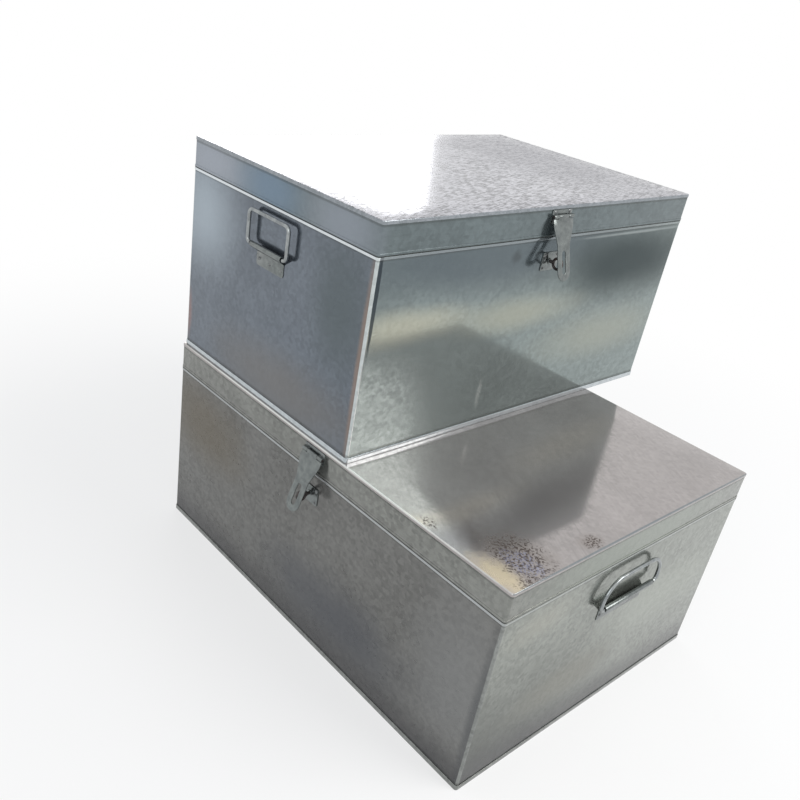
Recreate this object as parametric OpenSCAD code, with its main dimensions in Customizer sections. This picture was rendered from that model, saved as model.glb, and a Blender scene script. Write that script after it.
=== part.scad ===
// Two galvanised sheet-iron storage trunks with hinged lids, stacked crosswise.
// Millimetres, +Z up. The origin is the centre of the lower trunk's base, on the floor.
// The lower trunk's hasp faces -Y. The upper trunk is turned a quarter turn, so its hasp faces +X.

/* [Lower trunk] */
// Length of the lower trunk, along its hasp side
lower_l = 900; // [760:10:1100]
// Depth of the lower trunk, from its hasp side to its hinge side
lower_w = 675; // [600:5:800]
// Height of the lower trunk with its lid shut
lower_h = 410; // [340:5:520]
// Number of hinges on the lower trunk
lower_hinges = 3; // [2:1:4]

/* [Upper trunk] */
// Length of the upper trunk, along its hasp side
upper_l = 840; // [700:10:960]
// Depth of the upper trunk, from its hasp side to its hinge side
upper_w = 520; // [440:5:640]
// Height of the upper trunk with its lid shut
upper_h = 410; // [340:5:520]
// Number of hinges on the upper trunk
upper_hinges = 2; // [2:1:4]
// How far the upper trunk stands in from the lower trunk's front and left edges
setback = 4; // [2:1:30]

/* [Sheet] */
// Thickness of the galvanised sheet
sheet_t = 1; // [0.8:0.1:1.4]
// Outside radius of the folded vertical corners
corner_r = 4; // [3.8:0.2:8]
// Width of the lap strips behind the walls at each corner
lap_w = 16; // [10:1:30]
// Height of the lid's rim
lid_h = 55; // [50:1:75]
// How far the folded hems stand proud of the sheet
hem_t = 0.8; // [0.5:0.1:1.2]
// Height of the hems on both sides of the joint line
hem_h = 5; // [4:0.5:7]
// Height of the hem where the lid's top folds over its rim
top_hem_h = 6; // [4:0.5:6.5]
// How far the base's folded seam stands proud
base_hem_t = 1.2; // [0.8:0.1:2]
// Height of the base's folded seam
base_hem_h = 10; // [7:0.5:16]
// Gap between the lid's rim and the body at the joint line
joint_gap = 0.5; // [0.3:0.1:1.2]
// How far the inner neck rises above the joint line
neck_h = 18; // [12:1:20]
// How far the inner neck reaches below the joint line
neck_low = 20; // [14:1:22]
// Gap between the neck and the lid's rim
neck_gap = 0.8; // [0.6:0.1:1.1]

/* [Hinges] */
// Width of each hinge
hinge_w = 64; // [50:2:90]
// Height of each hinge leaf above or below the hinge axis
leaf_h = 36; // [34:1:42]
// Thickness of the hinge leaves
leaf_t = 1.2; // [1:0.1:1.6]
// Outside radius of the hinge barrel
barrel_r = 4; // [3.4:0.1:4.6]
// Radius of the hinge pin
hinge_pin_r = 1.8; // [1.5:0.1:2]
// Distance from the end of a trunk to the middle of its last hinge
hinge_inset = 120; // [80:5:160]

/* [Hasp] */
// How far the hasp's pivot lies below the top of the lid
hasp_drop = 18; // [17.5:0.5:20]
// Distance from the lid's rim to the axis of the hasp's pivot
hasp_off = 5.5; // [5:0.1:7]
// Width of the hasp strap at its pivot
hasp_w = 54; // [46:1:66]
// Width of the hasp strap at its tip
tip_w = 34; // [28:1:40]
// Length of the hasp strap, from its pivot to its tip
strap_l = 112; // [108:1:130]
// Thickness of the strap and its fixed leaf
strap_t = 1.6; // [1.2:0.1:2]
// Outside radius of the strap's barrel
hasp_r = 3.6; // [3.2:0.1:4]
// Radius of the strap's pin
hasp_pin_r = 1.6; // [1.3:0.1:1.8]
// Width of the slot in the strap
slot_w = 10.5; // [9:0.5:13]
// How far the slot reaches above the turn eye
slot_up = 23; // [16:1:26]
// How far the slot reaches below the turn eye
slot_down = 18; // [15:1:20]

/* [Turn eye] */
// How far the turn eye lies below the hasp's pivot
eye_drop = 82; // [76:1:88]
// Radius of the wire of the eye's ring
eye_wire_r = 2.5; // [2:0.1:3]
// Radius of the eye's ring, to the middle of its wire
eye_ring_r = 9.5; // [8:0.5:11]
// Radius of the eye's shank
shank_r = 3; // [2.5:0.1:3.5]
// Width of the plate that carries the turn eye
eye_plate_w = 46; // [40:1:60]
// Height of the plate that carries the turn eye
eye_plate_h = 34; // [30:1:40]

/* [Handles] */
// Radius of the rod that the handles are bent from
rod_r = 3.5; // [3:0.1:4.5]
// Distance from the end wall to the middle of the handle's rod
handle_off = 11; // [9:0.5:15]
// Width of the lower trunk's arched handles
lower_handle_w = 165; // [140:5:200]
// Height of the lower trunk's arched handles
lower_handle_h = 58; // [56:1:66]
// Bend radius at the top of the arched handles
lower_handle_bend = 42; // [30:1:46]
// How far the lower handles' pivot lies below the joint line
lower_handle_drop = 85; // [80:1:120]
// Width of the upper trunk's square handles
upper_handle_w = 114; // [100:2:140]
// Height of the upper trunk's square handles
upper_handle_h = 58; // [50:1:66]
// Bend radius at the top of the square handles
upper_handle_bend = 10; // [8:1:20]
// How far the upper handles' pivot lies below the joint line
upper_handle_drop = 75; // [74:1:120]
// Bend radius at both ends of a handle's pivot bar
foot_bend = 9; // [7:1:12]
// Height of the handle plate below its pivot
plate_h = 36; // [32:1:42]
// Thickness of the handle plate
plate_t = 1.2; // [1:0.1:1.6]

/* [Rivets] */
// Radius of the rivets' shanks
rivet_r = 1.6; // [1.2:0.1:1.9]
// Radius of the rivets' round heads
head_r = 3.1; // [2.6:0.1:3.3]
// Height of the rivets' round heads
head_h = 1.4; // [1:0.1:1.8]

/* [Hidden] */

$fn = 48;

// Which trunk a piece belongs to
LOWER = 0;
UPPER = 1;
// Which wall of a trunk a piece is on
FRONT = 0;
RIGHT = 1;
BACK = 2;
LEFT = 3;

// Finishes
galvanised = "#9aa4a4";
bright = "#b4bcbb";
iron = "#4a4542";

// Clearances: running fit on a pin, loose fit on a rivet, end play, and a gap that just clears
run_fit = 0.06;
pin_fit = 0.03;
rivet_fit = 0.1;
end_play = 0.4;
hair = 0.5;
// Overlap of pieces of one solid, so that they join
lap = 0.4;
// How far a hole's cutter reaches to each side of a sheet
cut_reach = 20;
// How much narrower a rivet's inner tail is than its head, and how thick it is
tail_less = 0.6;
tail_h = 0.9;

// Sizes of trunk k
function length(k) = k == LOWER ? lower_l : upper_l;
function depth(k) = k == LOWER ? lower_w : upper_w;
function height(k) = k == LOWER ? lower_h : upper_h;
function hinge_count(k) = k == LOWER ? lower_hinges : upper_hinges;
function joint_z(k) = height(k) - lid_h;
function wall_length(k, side) = side % 2 == 0 ? length(k) : depth(k);

// The turn eye's ring stands clear outside a shut strap, and the strap at rest hangs clear of it
eye_out = hasp_off + strap_t / 2 + hair + eye_wire_r + eye_ring_r;
ring_reach = eye_ring_r + eye_wire_r;
eye_arm = norm([eye_out - hasp_off, eye_drop]);
rest_tilt = atan((eye_out - hasp_off) / eye_drop)
    + asin((ring_reach + strap_t / 2 + hair) / eye_arm);

// Hinge axis, outside the back wall at the middle of the joint gap
hinge_off = hem_t + barrel_r + 0.2;
knuckle_w = (hinge_w - 2 * end_play) / 3;
leaf_rivet_z = leaf_h - head_r - 4;
leaf_rivet_x = hinge_w / 3;
function hinge_z(k) = joint_z(k) + joint_gap / 2;
function hinge_xs(k) = [
    for (i = [0 : hinge_count(k) - 1])
        (i / (hinge_count(k) - 1) - 0.5) * (length(k) - 2 * hinge_inset)
];

// Hasp pivot and eye heights, and the rivets of their plates
function hasp_z(k) = height(k) - hasp_drop;
function eye_z(k) = hasp_z(k) - eye_drop;
hasp_knuckle_w = (hasp_w - 2 * end_play) / 4;
hasp_rivet_z = hasp_r + head_r + 0.5;
hasp_rivet_x = hasp_w / 2 - head_r - 4;
hasp_leaf_up = hasp_rivet_z + head_r + 0.7;
hasp_leaf_down = hasp_rivet_z + head_r + 3;
eye_rivet_x = eye_plate_w / 2 - head_r - 2.5;
eye_rivet_z = eye_plate_h / 2 - head_r - 2.5;
eye_boss_r = shank_r + 3;
eye_boss_h = 1.5;
eye_head_r = shank_r + 3;
eye_head_h = 1.5;

// Handle sizes, and the rivets of their plates
function handle_w(k) = k == LOWER ? lower_handle_w : upper_handle_w;
function handle_h(k) = k == LOWER ? lower_handle_h : upper_handle_h;
function handle_bend(k) = k == LOWER ? lower_handle_bend : upper_handle_bend;
function handle_drop(k) = k == LOWER ? lower_handle_drop : upper_handle_drop;
function handle_z(k) = joint_z(k) - handle_drop(k);
function curl_w(k) = handle_w(k) - 2 * foot_bend - 4;
function web_w(k) = curl_w(k) - 2 * plate_t;
function plate_w(k) = handle_w(k) - 2 * rod_r - 2 * foot_bend - 10;
curl_bore_r = rod_r + run_fit;
curl_r = curl_bore_r + plate_t;
// The plate's web leans back from the middle of the curl's wall to the middle of the plate
web_angle = 50;
web_start = (curl_bore_r + curl_r) / 2;
web_z = (handle_off - plate_t / 2) * tan(web_angle);
web_l = (handle_off - plate_t / 2) / cos(web_angle);
plate_rivet_z = (plate_h + web_z) / 2;
function plate_rivet_xs(k) = [for (i = [-1 : 1]) i * (plate_w(k) / 2 - head_r - 3)];

// The upper trunk's place on the lower trunk's lid
upper_x = -lower_l / 2 + setback + upper_w / 2;
upper_y = -lower_w / 2 + setback + upper_l / 2;

// Puts a piece drawn in a trunk's own frame in its place in the stack
module at_trunk(k) {
    if (k == LOWER) children();
    else translate([upper_x, upper_y, lower_h]) rotate([0, 0, 90]) children();
}

// Puts a piece on a wall: y = 0 is the wall's outer face and -y points out of the trunk
module on_wall(k, side) {
    away = side % 2 == 0 ? depth(k) / 2 : length(k) / 2;
    rotate([0, 0, 90 * side]) translate([0, -away, 0]) children();
}

// Flat outline with round corners
module rounded(l, w, r) {
    rr = max(r, 0.2);
    square([l - 2 * rr, w], center = true);
    square([l, w - 2 * rr], center = true);
    for (x = [-1, 1], y = [-1, 1])
        translate([x * (l / 2 - rr), y * (w / 2 - rr)]) circle(rr);
}

// Flat ring of thickness t, measured inwards
module ring(l, w, r, t) {
    difference() {
        rounded(l, w, r);
        rounded(l - 2 * t, w - 2 * t, r - t);
    }
}

// Rod of radius r along X, centred
module x_rod(r, len) {
    rotate([0, 90, 0]) cylinder(r = r, h = len, center = true);
}

// Rod along Y from y0 to y1
module y_rod(r, y0, y1) {
    translate([0, y1, 0]) rotate([90, 0, 0]) cylinder(r = r, h = y1 - y0);
}

// One rivet on a wall: its head stands on a plate whose face is out mm off the wall
module rivet(out) {
    dome_r = (head_r * head_r + head_h * head_h) / (2 * head_h);
    y_rod(rivet_r, -out - lap, sheet_t + tail_h);
    y_rod(head_r - tail_less, sheet_t, sheet_t + tail_h);
    intersection() {
        translate([0, dome_r - head_h - out, 0]) sphere(dome_r);
        y_rod(head_r, -out - head_h, -out);
    }
}

// Hole for a rivet
module rivet_hole() {
    y_rod(rivet_r + rivet_fit, -cut_reach, cut_reach);
}

// Places of the rivets on one wall of trunk k, in the wall's frame
module body_rivet_places(k, side) {
    if (side == BACK)
        for (x = hinge_xs(k), s = [-1, 1])
            translate([x + s * leaf_rivet_x, 0, hinge_z(k) - leaf_rivet_z]) children();
    if (side == FRONT)
        for (x = [-1, 1], z = [-1, 1])
            translate([x * eye_rivet_x, 0, eye_z(k) + z * eye_rivet_z]) children();
    if (side == LEFT || side == RIGHT)
        for (x = plate_rivet_xs(k))
            translate([x, 0, handle_z(k) - plate_rivet_z]) children();
}

// Places of the rivets on the lid's rim, in the wall's frame
module lid_rivet_places(k, side) {
    if (side == BACK)
        for (x = hinge_xs(k), s = [-1, 1])
            translate([x + s * leaf_rivet_x, 0, hinge_z(k) + leaf_rivet_z]) children();
    if (side == FRONT)
        for (x = [-1, 1], z = [-1, 1])
            translate([x * hasp_rivet_x, 0, hasp_z(k) + z * hasp_rivet_z]) children();
}

// One wall of the body, with the hem along its top edge
module wall_panel(k, side) {
    len = wall_length(k, side) - 2 * corner_r;
    color(galvanised) on_wall(k, side) difference() {
        union() {
            translate([-len / 2, 0, sheet_t]) cube([len, sheet_t, joint_z(k) - sheet_t]);
            translate([-len / 2, -hem_t, joint_z(k) - hem_h])
                cube([len, hem_t + lap, hem_h]);
        }
        body_rivet_places(k, side) rivet_hole();
        if (side == FRONT)
            translate([0, 0, eye_z(k)]) y_rod(shank_r + hair, -cut_reach, cut_reach);
    }
}

// The bottom sheet, folded up outside the walls all round
module base_pan(k) {
    l = length(k) + 2 * base_hem_t;
    w = depth(k) + 2 * base_hem_t;
    color(galvanised) {
        linear_extrude(sheet_t) rounded(l, w, corner_r + base_hem_t);
        linear_extrude(base_hem_h) ring(l, w, corner_r + base_hem_t, base_hem_t);
    }
}

// A quarter of a round ring, for the outside of a corner
module quarter(r_out, r_in, h) {
    linear_extrude(h) intersection() {
        difference() {
            circle(r_out);
            circle(r_in);
        }
        translate([-2 * r_out, -2 * r_out]) square(2 * r_out);
    }
}

// The folded corner with the lap strips behind both walls
module corner_seam(k) {
    top = joint_z(k);
    low = top - neck_low;
    translate([0, 0, sheet_t]) quarter(corner_r, corner_r - 2 * sheet_t, low - sheet_t);
    translate([0, 0, low]) quarter(corner_r, corner_r - sheet_t, top - low);
    translate([0, 0, top - hem_h]) quarter(corner_r + hem_t, corner_r - sheet_t, hem_h);
    translate([-lap / 4, sheet_t - corner_r, sheet_t])
        cube([lap_w + lap / 4, sheet_t, low - sheet_t]);
    translate([sheet_t - corner_r, -lap / 4, sheet_t])
        cube([sheet_t, lap_w + lap / 4, low - sheet_t]);
}

// The four corner seams of the body
module corner_seams(k) {
    color(bright) for (x = [0, 1], y = [0, 1])
        mirror([x, 0, 0]) mirror([0, y, 0])
            translate([corner_r - length(k) / 2, corner_r - depth(k) / 2, 0]) corner_seam(k);
}

// The inner band that stiffens the mouth and that the lid's rim fits over
module neck_band(k) {
    l = length(k) - 2 * sheet_t;
    w = depth(k) - 2 * sheet_t;
    r = corner_r - sheet_t;
    color(galvanised) {
        translate([0, 0, joint_z(k) - neck_low])
            linear_extrude(neck_low) ring(l, w, r, neck_gap + sheet_t);
        translate([0, 0, joint_z(k) - lap]) linear_extrude(neck_h + lap)
            ring(l - 2 * neck_gap, w - 2 * neck_gap, r - neck_gap, sheet_t);
    }
}

// The upright rim of the lid, with the hem along its lower edge
module lid_skirt(k) {
    low = joint_z(k) + joint_gap;
    color(galvanised) difference() {
        union() {
            translate([0, 0, low]) linear_extrude(height(k) - sheet_t - low)
                ring(length(k), depth(k), corner_r, sheet_t);
            translate([0, 0, low]) linear_extrude(hem_h)
                ring(length(k) + 2 * hem_t, depth(k) + 2 * hem_t, corner_r + hem_t,
                    hem_t + lap);
        }
        for (side = [FRONT, BACK])
            on_wall(k, side) lid_rivet_places(k, side) rivet_hole();
    }
}

// The top sheet of the lid, folded down over the rim all round
module lid_top(k) {
    l = length(k) + 2 * hem_t;
    w = depth(k) + 2 * hem_t;
    color(bright) {
        translate([0, 0, height(k) - sheet_t])
            linear_extrude(sheet_t) rounded(l, w, corner_r + hem_t);
        translate([0, 0, height(k) - top_hem_h])
            linear_extrude(top_hem_h) ring(l, w, corner_r + hem_t, hem_t);
    }
}

// One hinge leaf with its knuckles, drawn about the hinge axis and reaching down
module hinge_leaf(knuckles, bore_r, clear) {
    face = barrel_r + 0.2;
    difference() {
        union() {
            translate([-hinge_w / 2, face - leaf_t, -leaf_h])
                cube([hinge_w, leaf_t, leaf_h - barrel_r - clear]);
            for (x = knuckles) translate([x, 0, 0]) {
                x_rod(barrel_r, knuckle_w);
                translate([-knuckle_w / 2, face - leaf_t, -leaf_h])
                    cube([knuckle_w, leaf_t, leaf_h]);
            }
        }
        x_rod(bore_r, 2 * hinge_w);
        for (s = [-1, 1]) translate([s * leaf_rivet_x, 0, -leaf_rivet_z]) rivet_hole();
    }
}

// Places of the hinges on the back wall
module hinge_places(k) {
    on_wall(k, BACK) for (x = hinge_xs(k))
        translate([x, -hinge_off, hinge_z(k)]) children();
}

// The leaves on the body, each with two knuckles
module hinge_body_leaves(k) {
    outer = knuckle_w + end_play;
    color(bright) hinge_places(k) hinge_leaf([-outer, outer], hinge_pin_r + pin_fit, hair);
}

// The leaves on the lid, each with one knuckle
module hinge_lid_leaves(k) {
    color(bright) hinge_places(k) mirror([0, 0, 1])
        hinge_leaf([0], hinge_pin_r + run_fit, hair);
}

// The hinge pins, headed at both ends
module hinge_pins(k) {
    head = (barrel_r + hinge_pin_r) / 2;
    color(iron) hinge_places(k) {
        x_rod(hinge_pin_r, hinge_w + 2);
        for (s = [-1, 1]) translate([s * (hinge_w / 2 + 0.5), 0, 0]) x_rod(head, 1);
    }
}

// The rivets that hold the hinge leaves, eye plate and handle plates on the body
module body_rivets(k) {
    color(bright) for (side = [FRONT, RIGHT, BACK, LEFT])
        on_wall(k, side) body_rivet_places(k, side)
            rivet(side == BACK ? hem_t + leaf_t : side == FRONT ? strap_t : plate_t);
}

// The rivets that hold the hinge leaves and the hasp leaf on the lid's rim
module lid_rivets(k) {
    color(bright) for (side = [FRONT, BACK])
        on_wall(k, side) lid_rivet_places(k, side)
            rivet(side == BACK ? hem_t + leaf_t : strap_t);
}

// The plate and boss that carry the turn eye
module eye_plate(k) {
    color(bright) on_wall(k, FRONT) difference() {
        translate([0, 0, eye_z(k)]) {
            rotate([90, 0, 0]) linear_extrude(strap_t)
                rounded(eye_plate_w, eye_plate_h, head_r);
            y_rod(eye_boss_r, -strap_t - eye_boss_h, -strap_t + lap);
        }
        body_rivet_places(k, FRONT) rivet_hole();
        translate([0, 0, eye_z(k)]) y_rod(shank_r + run_fit, -cut_reach, cut_reach);
    }
}

// The eye that a padlock hangs in. It turns on its shank, which is headed inside the wall
module turn_eye(k) {
    inside = sheet_t + end_play;
    color(iron) on_wall(k, FRONT) translate([0, 0, eye_z(k)]) {
        y_rod(shank_r, eye_ring_r - eye_out - eye_wire_r / 2, inside + lap);
        y_rod(eye_head_r, inside, inside + eye_head_h);
        translate([0, -eye_out, 0]) rotate([0, 90, 0])
            rotate_extrude() translate([eye_ring_r, 0]) circle(eye_wire_r, $fn = 24);
    }
}

// The hasp's fixed leaf on the lid's rim, with a knuckle at each end
module hasp_leaf(k) {
    color(bright) on_wall(k, FRONT) difference() {
        union() {
            translate([-hasp_w / 2, -strap_t, hasp_z(k) - hasp_leaf_down])
                cube([hasp_w, strap_t, hasp_leaf_up + hasp_leaf_down]);
            for (s = [-1, 1])
                translate([s * (hasp_w - hasp_knuckle_w) / 2, -hasp_off, hasp_z(k)]) {
                    x_rod(hasp_r, hasp_knuckle_w);
                    translate([-hasp_knuckle_w / 2, 0, 0])
                        cube([hasp_knuckle_w, hasp_off - strap_t + lap, hasp_r]);
                }
        }
        translate([0, -hasp_off, hasp_z(k)]) x_rod(hasp_pin_r + pin_fit, 2 * hasp_w);
        lid_rivet_places(k, FRONT) rivet_hole();
    }
}

// The pin that the strap swings on
module hasp_pin(k) {
    head = (hasp_r + hasp_pin_r) / 2;
    color(iron) on_wall(k, FRONT) translate([0, -hasp_off, hasp_z(k)]) {
        x_rod(hasp_pin_r, hasp_w + 2);
        for (s = [-1, 1]) translate([s * (hasp_w / 2 + 0.5), 0, 0]) x_rod(head, 1);
    }
}

// Flat outline of the strap, hanging down from its pivot
module strap_outline() {
    mid = hasp_w - 2 * hasp_knuckle_w - 2 * end_play;
    shoulder = hasp_r + hair + 0.3;
    tip = strap_l - tip_w / 2;
    difference() {
        union() {
            translate([-mid / 2, -shoulder - lap]) square([mid, shoulder + lap]);
            polygon([
                [-hasp_w / 2, -shoulder], [hasp_w / 2, -shoulder],
                [hasp_w / 2, -shoulder - 12], [tip_w / 2, -eye_drop / 2 - 8],
                [tip_w / 2, -tip], [-tip_w / 2, -tip],
                [-tip_w / 2, -eye_drop / 2 - 8], [-hasp_w / 2, -shoulder - 12]
            ]);
            translate([0, -tip]) circle(tip_w / 2);
        }
        for (y = [slot_w / 2 - slot_down, slot_up - slot_w / 2])
            translate([0, y - eye_drop]) circle(slot_w / 2);
        translate([-slot_w / 2, slot_w / 2 - slot_down - eye_drop])
            square([slot_w, slot_up + slot_down - slot_w]);
    }
}

// The hasp strap, swung out just clear of the turn eye so that the lid can lift
module hasp_strap(k) {
    mid = hasp_w - 2 * hasp_knuckle_w - 2 * end_play;
    color(bright) on_wall(k, FRONT) translate([0, -hasp_off, hasp_z(k)])
        rotate([-rest_tilt, 0, 0]) difference() {
            union() {
                rotate([90, 0, 0]) linear_extrude(strap_t, center = true) strap_outline();
                x_rod(hasp_r, mid);
            }
            x_rod(hasp_pin_r + run_fit, 2 * hasp_w);
        }
}

// The plate that is folded round a handle's pivot bar and riveted to the end wall
module handle_plate(k, side) {
    color(bright) on_wall(k, side) difference() {
        translate([0, 0, handle_z(k)]) {
            translate([0, -handle_off, 0]) {
                x_rod(curl_r, curl_w(k));
                rotate([-web_angle, 0, 0])
                    translate([-web_w(k) / 2, web_start, -plate_t / 2])
                        cube([web_w(k), web_l - web_start, plate_t]);
            }
            translate([-plate_w(k) / 2, -plate_t, -plate_h])
                cube([plate_w(k), plate_t, plate_h - web_z + plate_t]);
        }
        translate([0, -handle_off, handle_z(k)]) x_rod(curl_bore_r, 2 * curl_w(k));
        body_rivet_places(k, side) rivet_hole();
    }
}

// A quarter bend of the handle's rod about the Y axis, from +X round to +Z
module rod_bend(r) {
    rotate([90, 0, 0]) rotate_extrude(angle = 90) translate([r, 0]) circle(rod_r, $fn = 32);
}

// One handle: a closed ring of round rod that stands up from its pivot bar
module handle(k, side) {
    w = handle_w(k) / 2;
    h = handle_h(k);
    top = handle_bend(k);
    color(bright) on_wall(k, side) translate([0, -handle_off, handle_z(k)]) {
        x_rod(rod_r, 2 * (w - foot_bend));
        translate([0, 0, h]) x_rod(rod_r, 2 * (w - top));
        for (s = [0, 1]) mirror([s, 0, 0]) {
            translate([w, 0, foot_bend]) cylinder(r = rod_r, h = h - top - foot_bend);
            translate([w - top, 0, h - top]) rod_bend(top);
            translate([w - foot_bend, 0, foot_bend]) mirror([0, 0, 1]) rod_bend(foot_bend);
        }
    }
}

at_trunk(LOWER) base_pan(LOWER);  // lower_base_pan
at_trunk(LOWER) wall_panel(LOWER, FRONT);  // lower_front_panel
at_trunk(LOWER) wall_panel(LOWER, BACK);  // lower_back_panel
at_trunk(LOWER) wall_panel(LOWER, LEFT);  // lower_left_panel
at_trunk(LOWER) wall_panel(LOWER, RIGHT);  // lower_right_panel
at_trunk(LOWER) corner_seams(LOWER);  // lower_corner_seams
at_trunk(LOWER) neck_band(LOWER);  // lower_neck_band
at_trunk(LOWER) hinge_body_leaves(LOWER);  // lower_hinge_body_leaves
at_trunk(LOWER) hinge_pins(LOWER);  // lower_hinge_pins
at_trunk(LOWER) body_rivets(LOWER);  // lower_body_rivets
at_trunk(LOWER) eye_plate(LOWER);  // lower_eye_plate
at_trunk(LOWER) turn_eye(LOWER);  // lower_turn_eye
at_trunk(LOWER) handle_plate(LOWER, LEFT);  // lower_left_handle_plate
at_trunk(LOWER) handle_plate(LOWER, RIGHT);  // lower_right_handle_plate
at_trunk(LOWER) handle(LOWER, LEFT);  // lower_left_handle
at_trunk(LOWER) handle(LOWER, RIGHT);  // lower_right_handle
at_trunk(LOWER) lid_skirt(LOWER);  // lower_lid_skirt
at_trunk(LOWER) lid_top(LOWER);  // lower_lid_top
at_trunk(LOWER) hinge_lid_leaves(LOWER);  // lower_hinge_lid_leaves
at_trunk(LOWER) hasp_leaf(LOWER);  // lower_hasp_leaf
at_trunk(LOWER) hasp_pin(LOWER);  // lower_hasp_pin
at_trunk(LOWER) lid_rivets(LOWER);  // lower_lid_rivets
at_trunk(LOWER) hasp_strap(LOWER);  // lower_hasp_strap
at_trunk(UPPER) base_pan(UPPER);  // upper_base_pan
at_trunk(UPPER) wall_panel(UPPER, FRONT);  // upper_front_panel
at_trunk(UPPER) wall_panel(UPPER, BACK);  // upper_back_panel
at_trunk(UPPER) wall_panel(UPPER, LEFT);  // upper_left_panel
at_trunk(UPPER) wall_panel(UPPER, RIGHT);  // upper_right_panel
at_trunk(UPPER) corner_seams(UPPER);  // upper_corner_seams
at_trunk(UPPER) neck_band(UPPER);  // upper_neck_band
at_trunk(UPPER) hinge_body_leaves(UPPER);  // upper_hinge_body_leaves
at_trunk(UPPER) hinge_pins(UPPER);  // upper_hinge_pins
at_trunk(UPPER) body_rivets(UPPER);  // upper_body_rivets
at_trunk(UPPER) eye_plate(UPPER);  // upper_eye_plate
at_trunk(UPPER) turn_eye(UPPER);  // upper_turn_eye
at_trunk(UPPER) handle_plate(UPPER, LEFT);  // upper_left_handle_plate
at_trunk(UPPER) handle_plate(UPPER, RIGHT);  // upper_right_handle_plate
at_trunk(UPPER) handle(UPPER, LEFT);  // upper_left_handle
at_trunk(UPPER) handle(UPPER, RIGHT);  // upper_right_handle
at_trunk(UPPER) lid_skirt(UPPER);  // upper_lid_skirt
at_trunk(UPPER) lid_top(UPPER);  // upper_lid_top
at_trunk(UPPER) hinge_lid_leaves(UPPER);  // upper_hinge_lid_leaves
at_trunk(UPPER) hasp_leaf(UPPER);  // upper_hasp_leaf
at_trunk(UPPER) hasp_pin(UPPER);  // upper_hasp_pin
at_trunk(UPPER) lid_rivets(UPPER);  // upper_lid_rivets
at_trunk(UPPER) hasp_strap(UPPER);  // upper_hasp_strap
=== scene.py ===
"""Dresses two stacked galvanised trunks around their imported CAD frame.

Every piece is drawn in millimetres in its trunk's own frame, hasp side facing -Y and base on
z = 0, and then set in its place in the stack, so that both trunks come from the same classes.
"""

import logging
import math
from collections.abc import Callable, Sequence
from dataclasses import dataclass
from enum import Enum
from functools import partial
from typing import Any

import bmesh
import bpy
from mathutils import Matrix, Vector


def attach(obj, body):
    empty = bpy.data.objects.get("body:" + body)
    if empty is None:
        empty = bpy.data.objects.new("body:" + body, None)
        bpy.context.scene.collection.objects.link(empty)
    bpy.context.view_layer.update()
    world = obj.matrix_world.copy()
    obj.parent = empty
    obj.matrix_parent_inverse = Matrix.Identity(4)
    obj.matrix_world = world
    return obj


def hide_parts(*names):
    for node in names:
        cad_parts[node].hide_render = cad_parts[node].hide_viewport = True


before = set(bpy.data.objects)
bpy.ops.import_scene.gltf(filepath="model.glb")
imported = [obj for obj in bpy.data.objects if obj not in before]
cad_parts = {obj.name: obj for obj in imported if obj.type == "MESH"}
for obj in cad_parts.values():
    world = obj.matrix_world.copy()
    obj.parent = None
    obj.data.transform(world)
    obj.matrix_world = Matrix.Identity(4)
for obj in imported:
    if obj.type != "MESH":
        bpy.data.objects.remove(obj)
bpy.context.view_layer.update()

log = logging.getLogger("trunks")
Piece = bpy.types.Object
Socket = bpy.types.NodeSocket
Colour = tuple[float, float, float]
Point = tuple[float, float, float]
Station = tuple[Matrix, float]
Test = Callable[..., bool]

MM = 0.001
# A normal faces an axis when this much of it lies along the axis
FACING = 0.9
# How near two places count as the same, in millimetres
FINE = 0.01
NEAR = 0.1


# Choices


class Wall(Enum):
    """A wall of a trunk, in quarter turns from the hasp side."""

    FRONT = 0
    RIGHT = 1
    BACK = 2
    LEFT = 3


class Part(Enum):
    """What an operator in edit mode acts on."""

    VERTS = "VERT"
    EDGES = "EDGE"
    FACES = "FACE"


# Hand work on meshes


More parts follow.
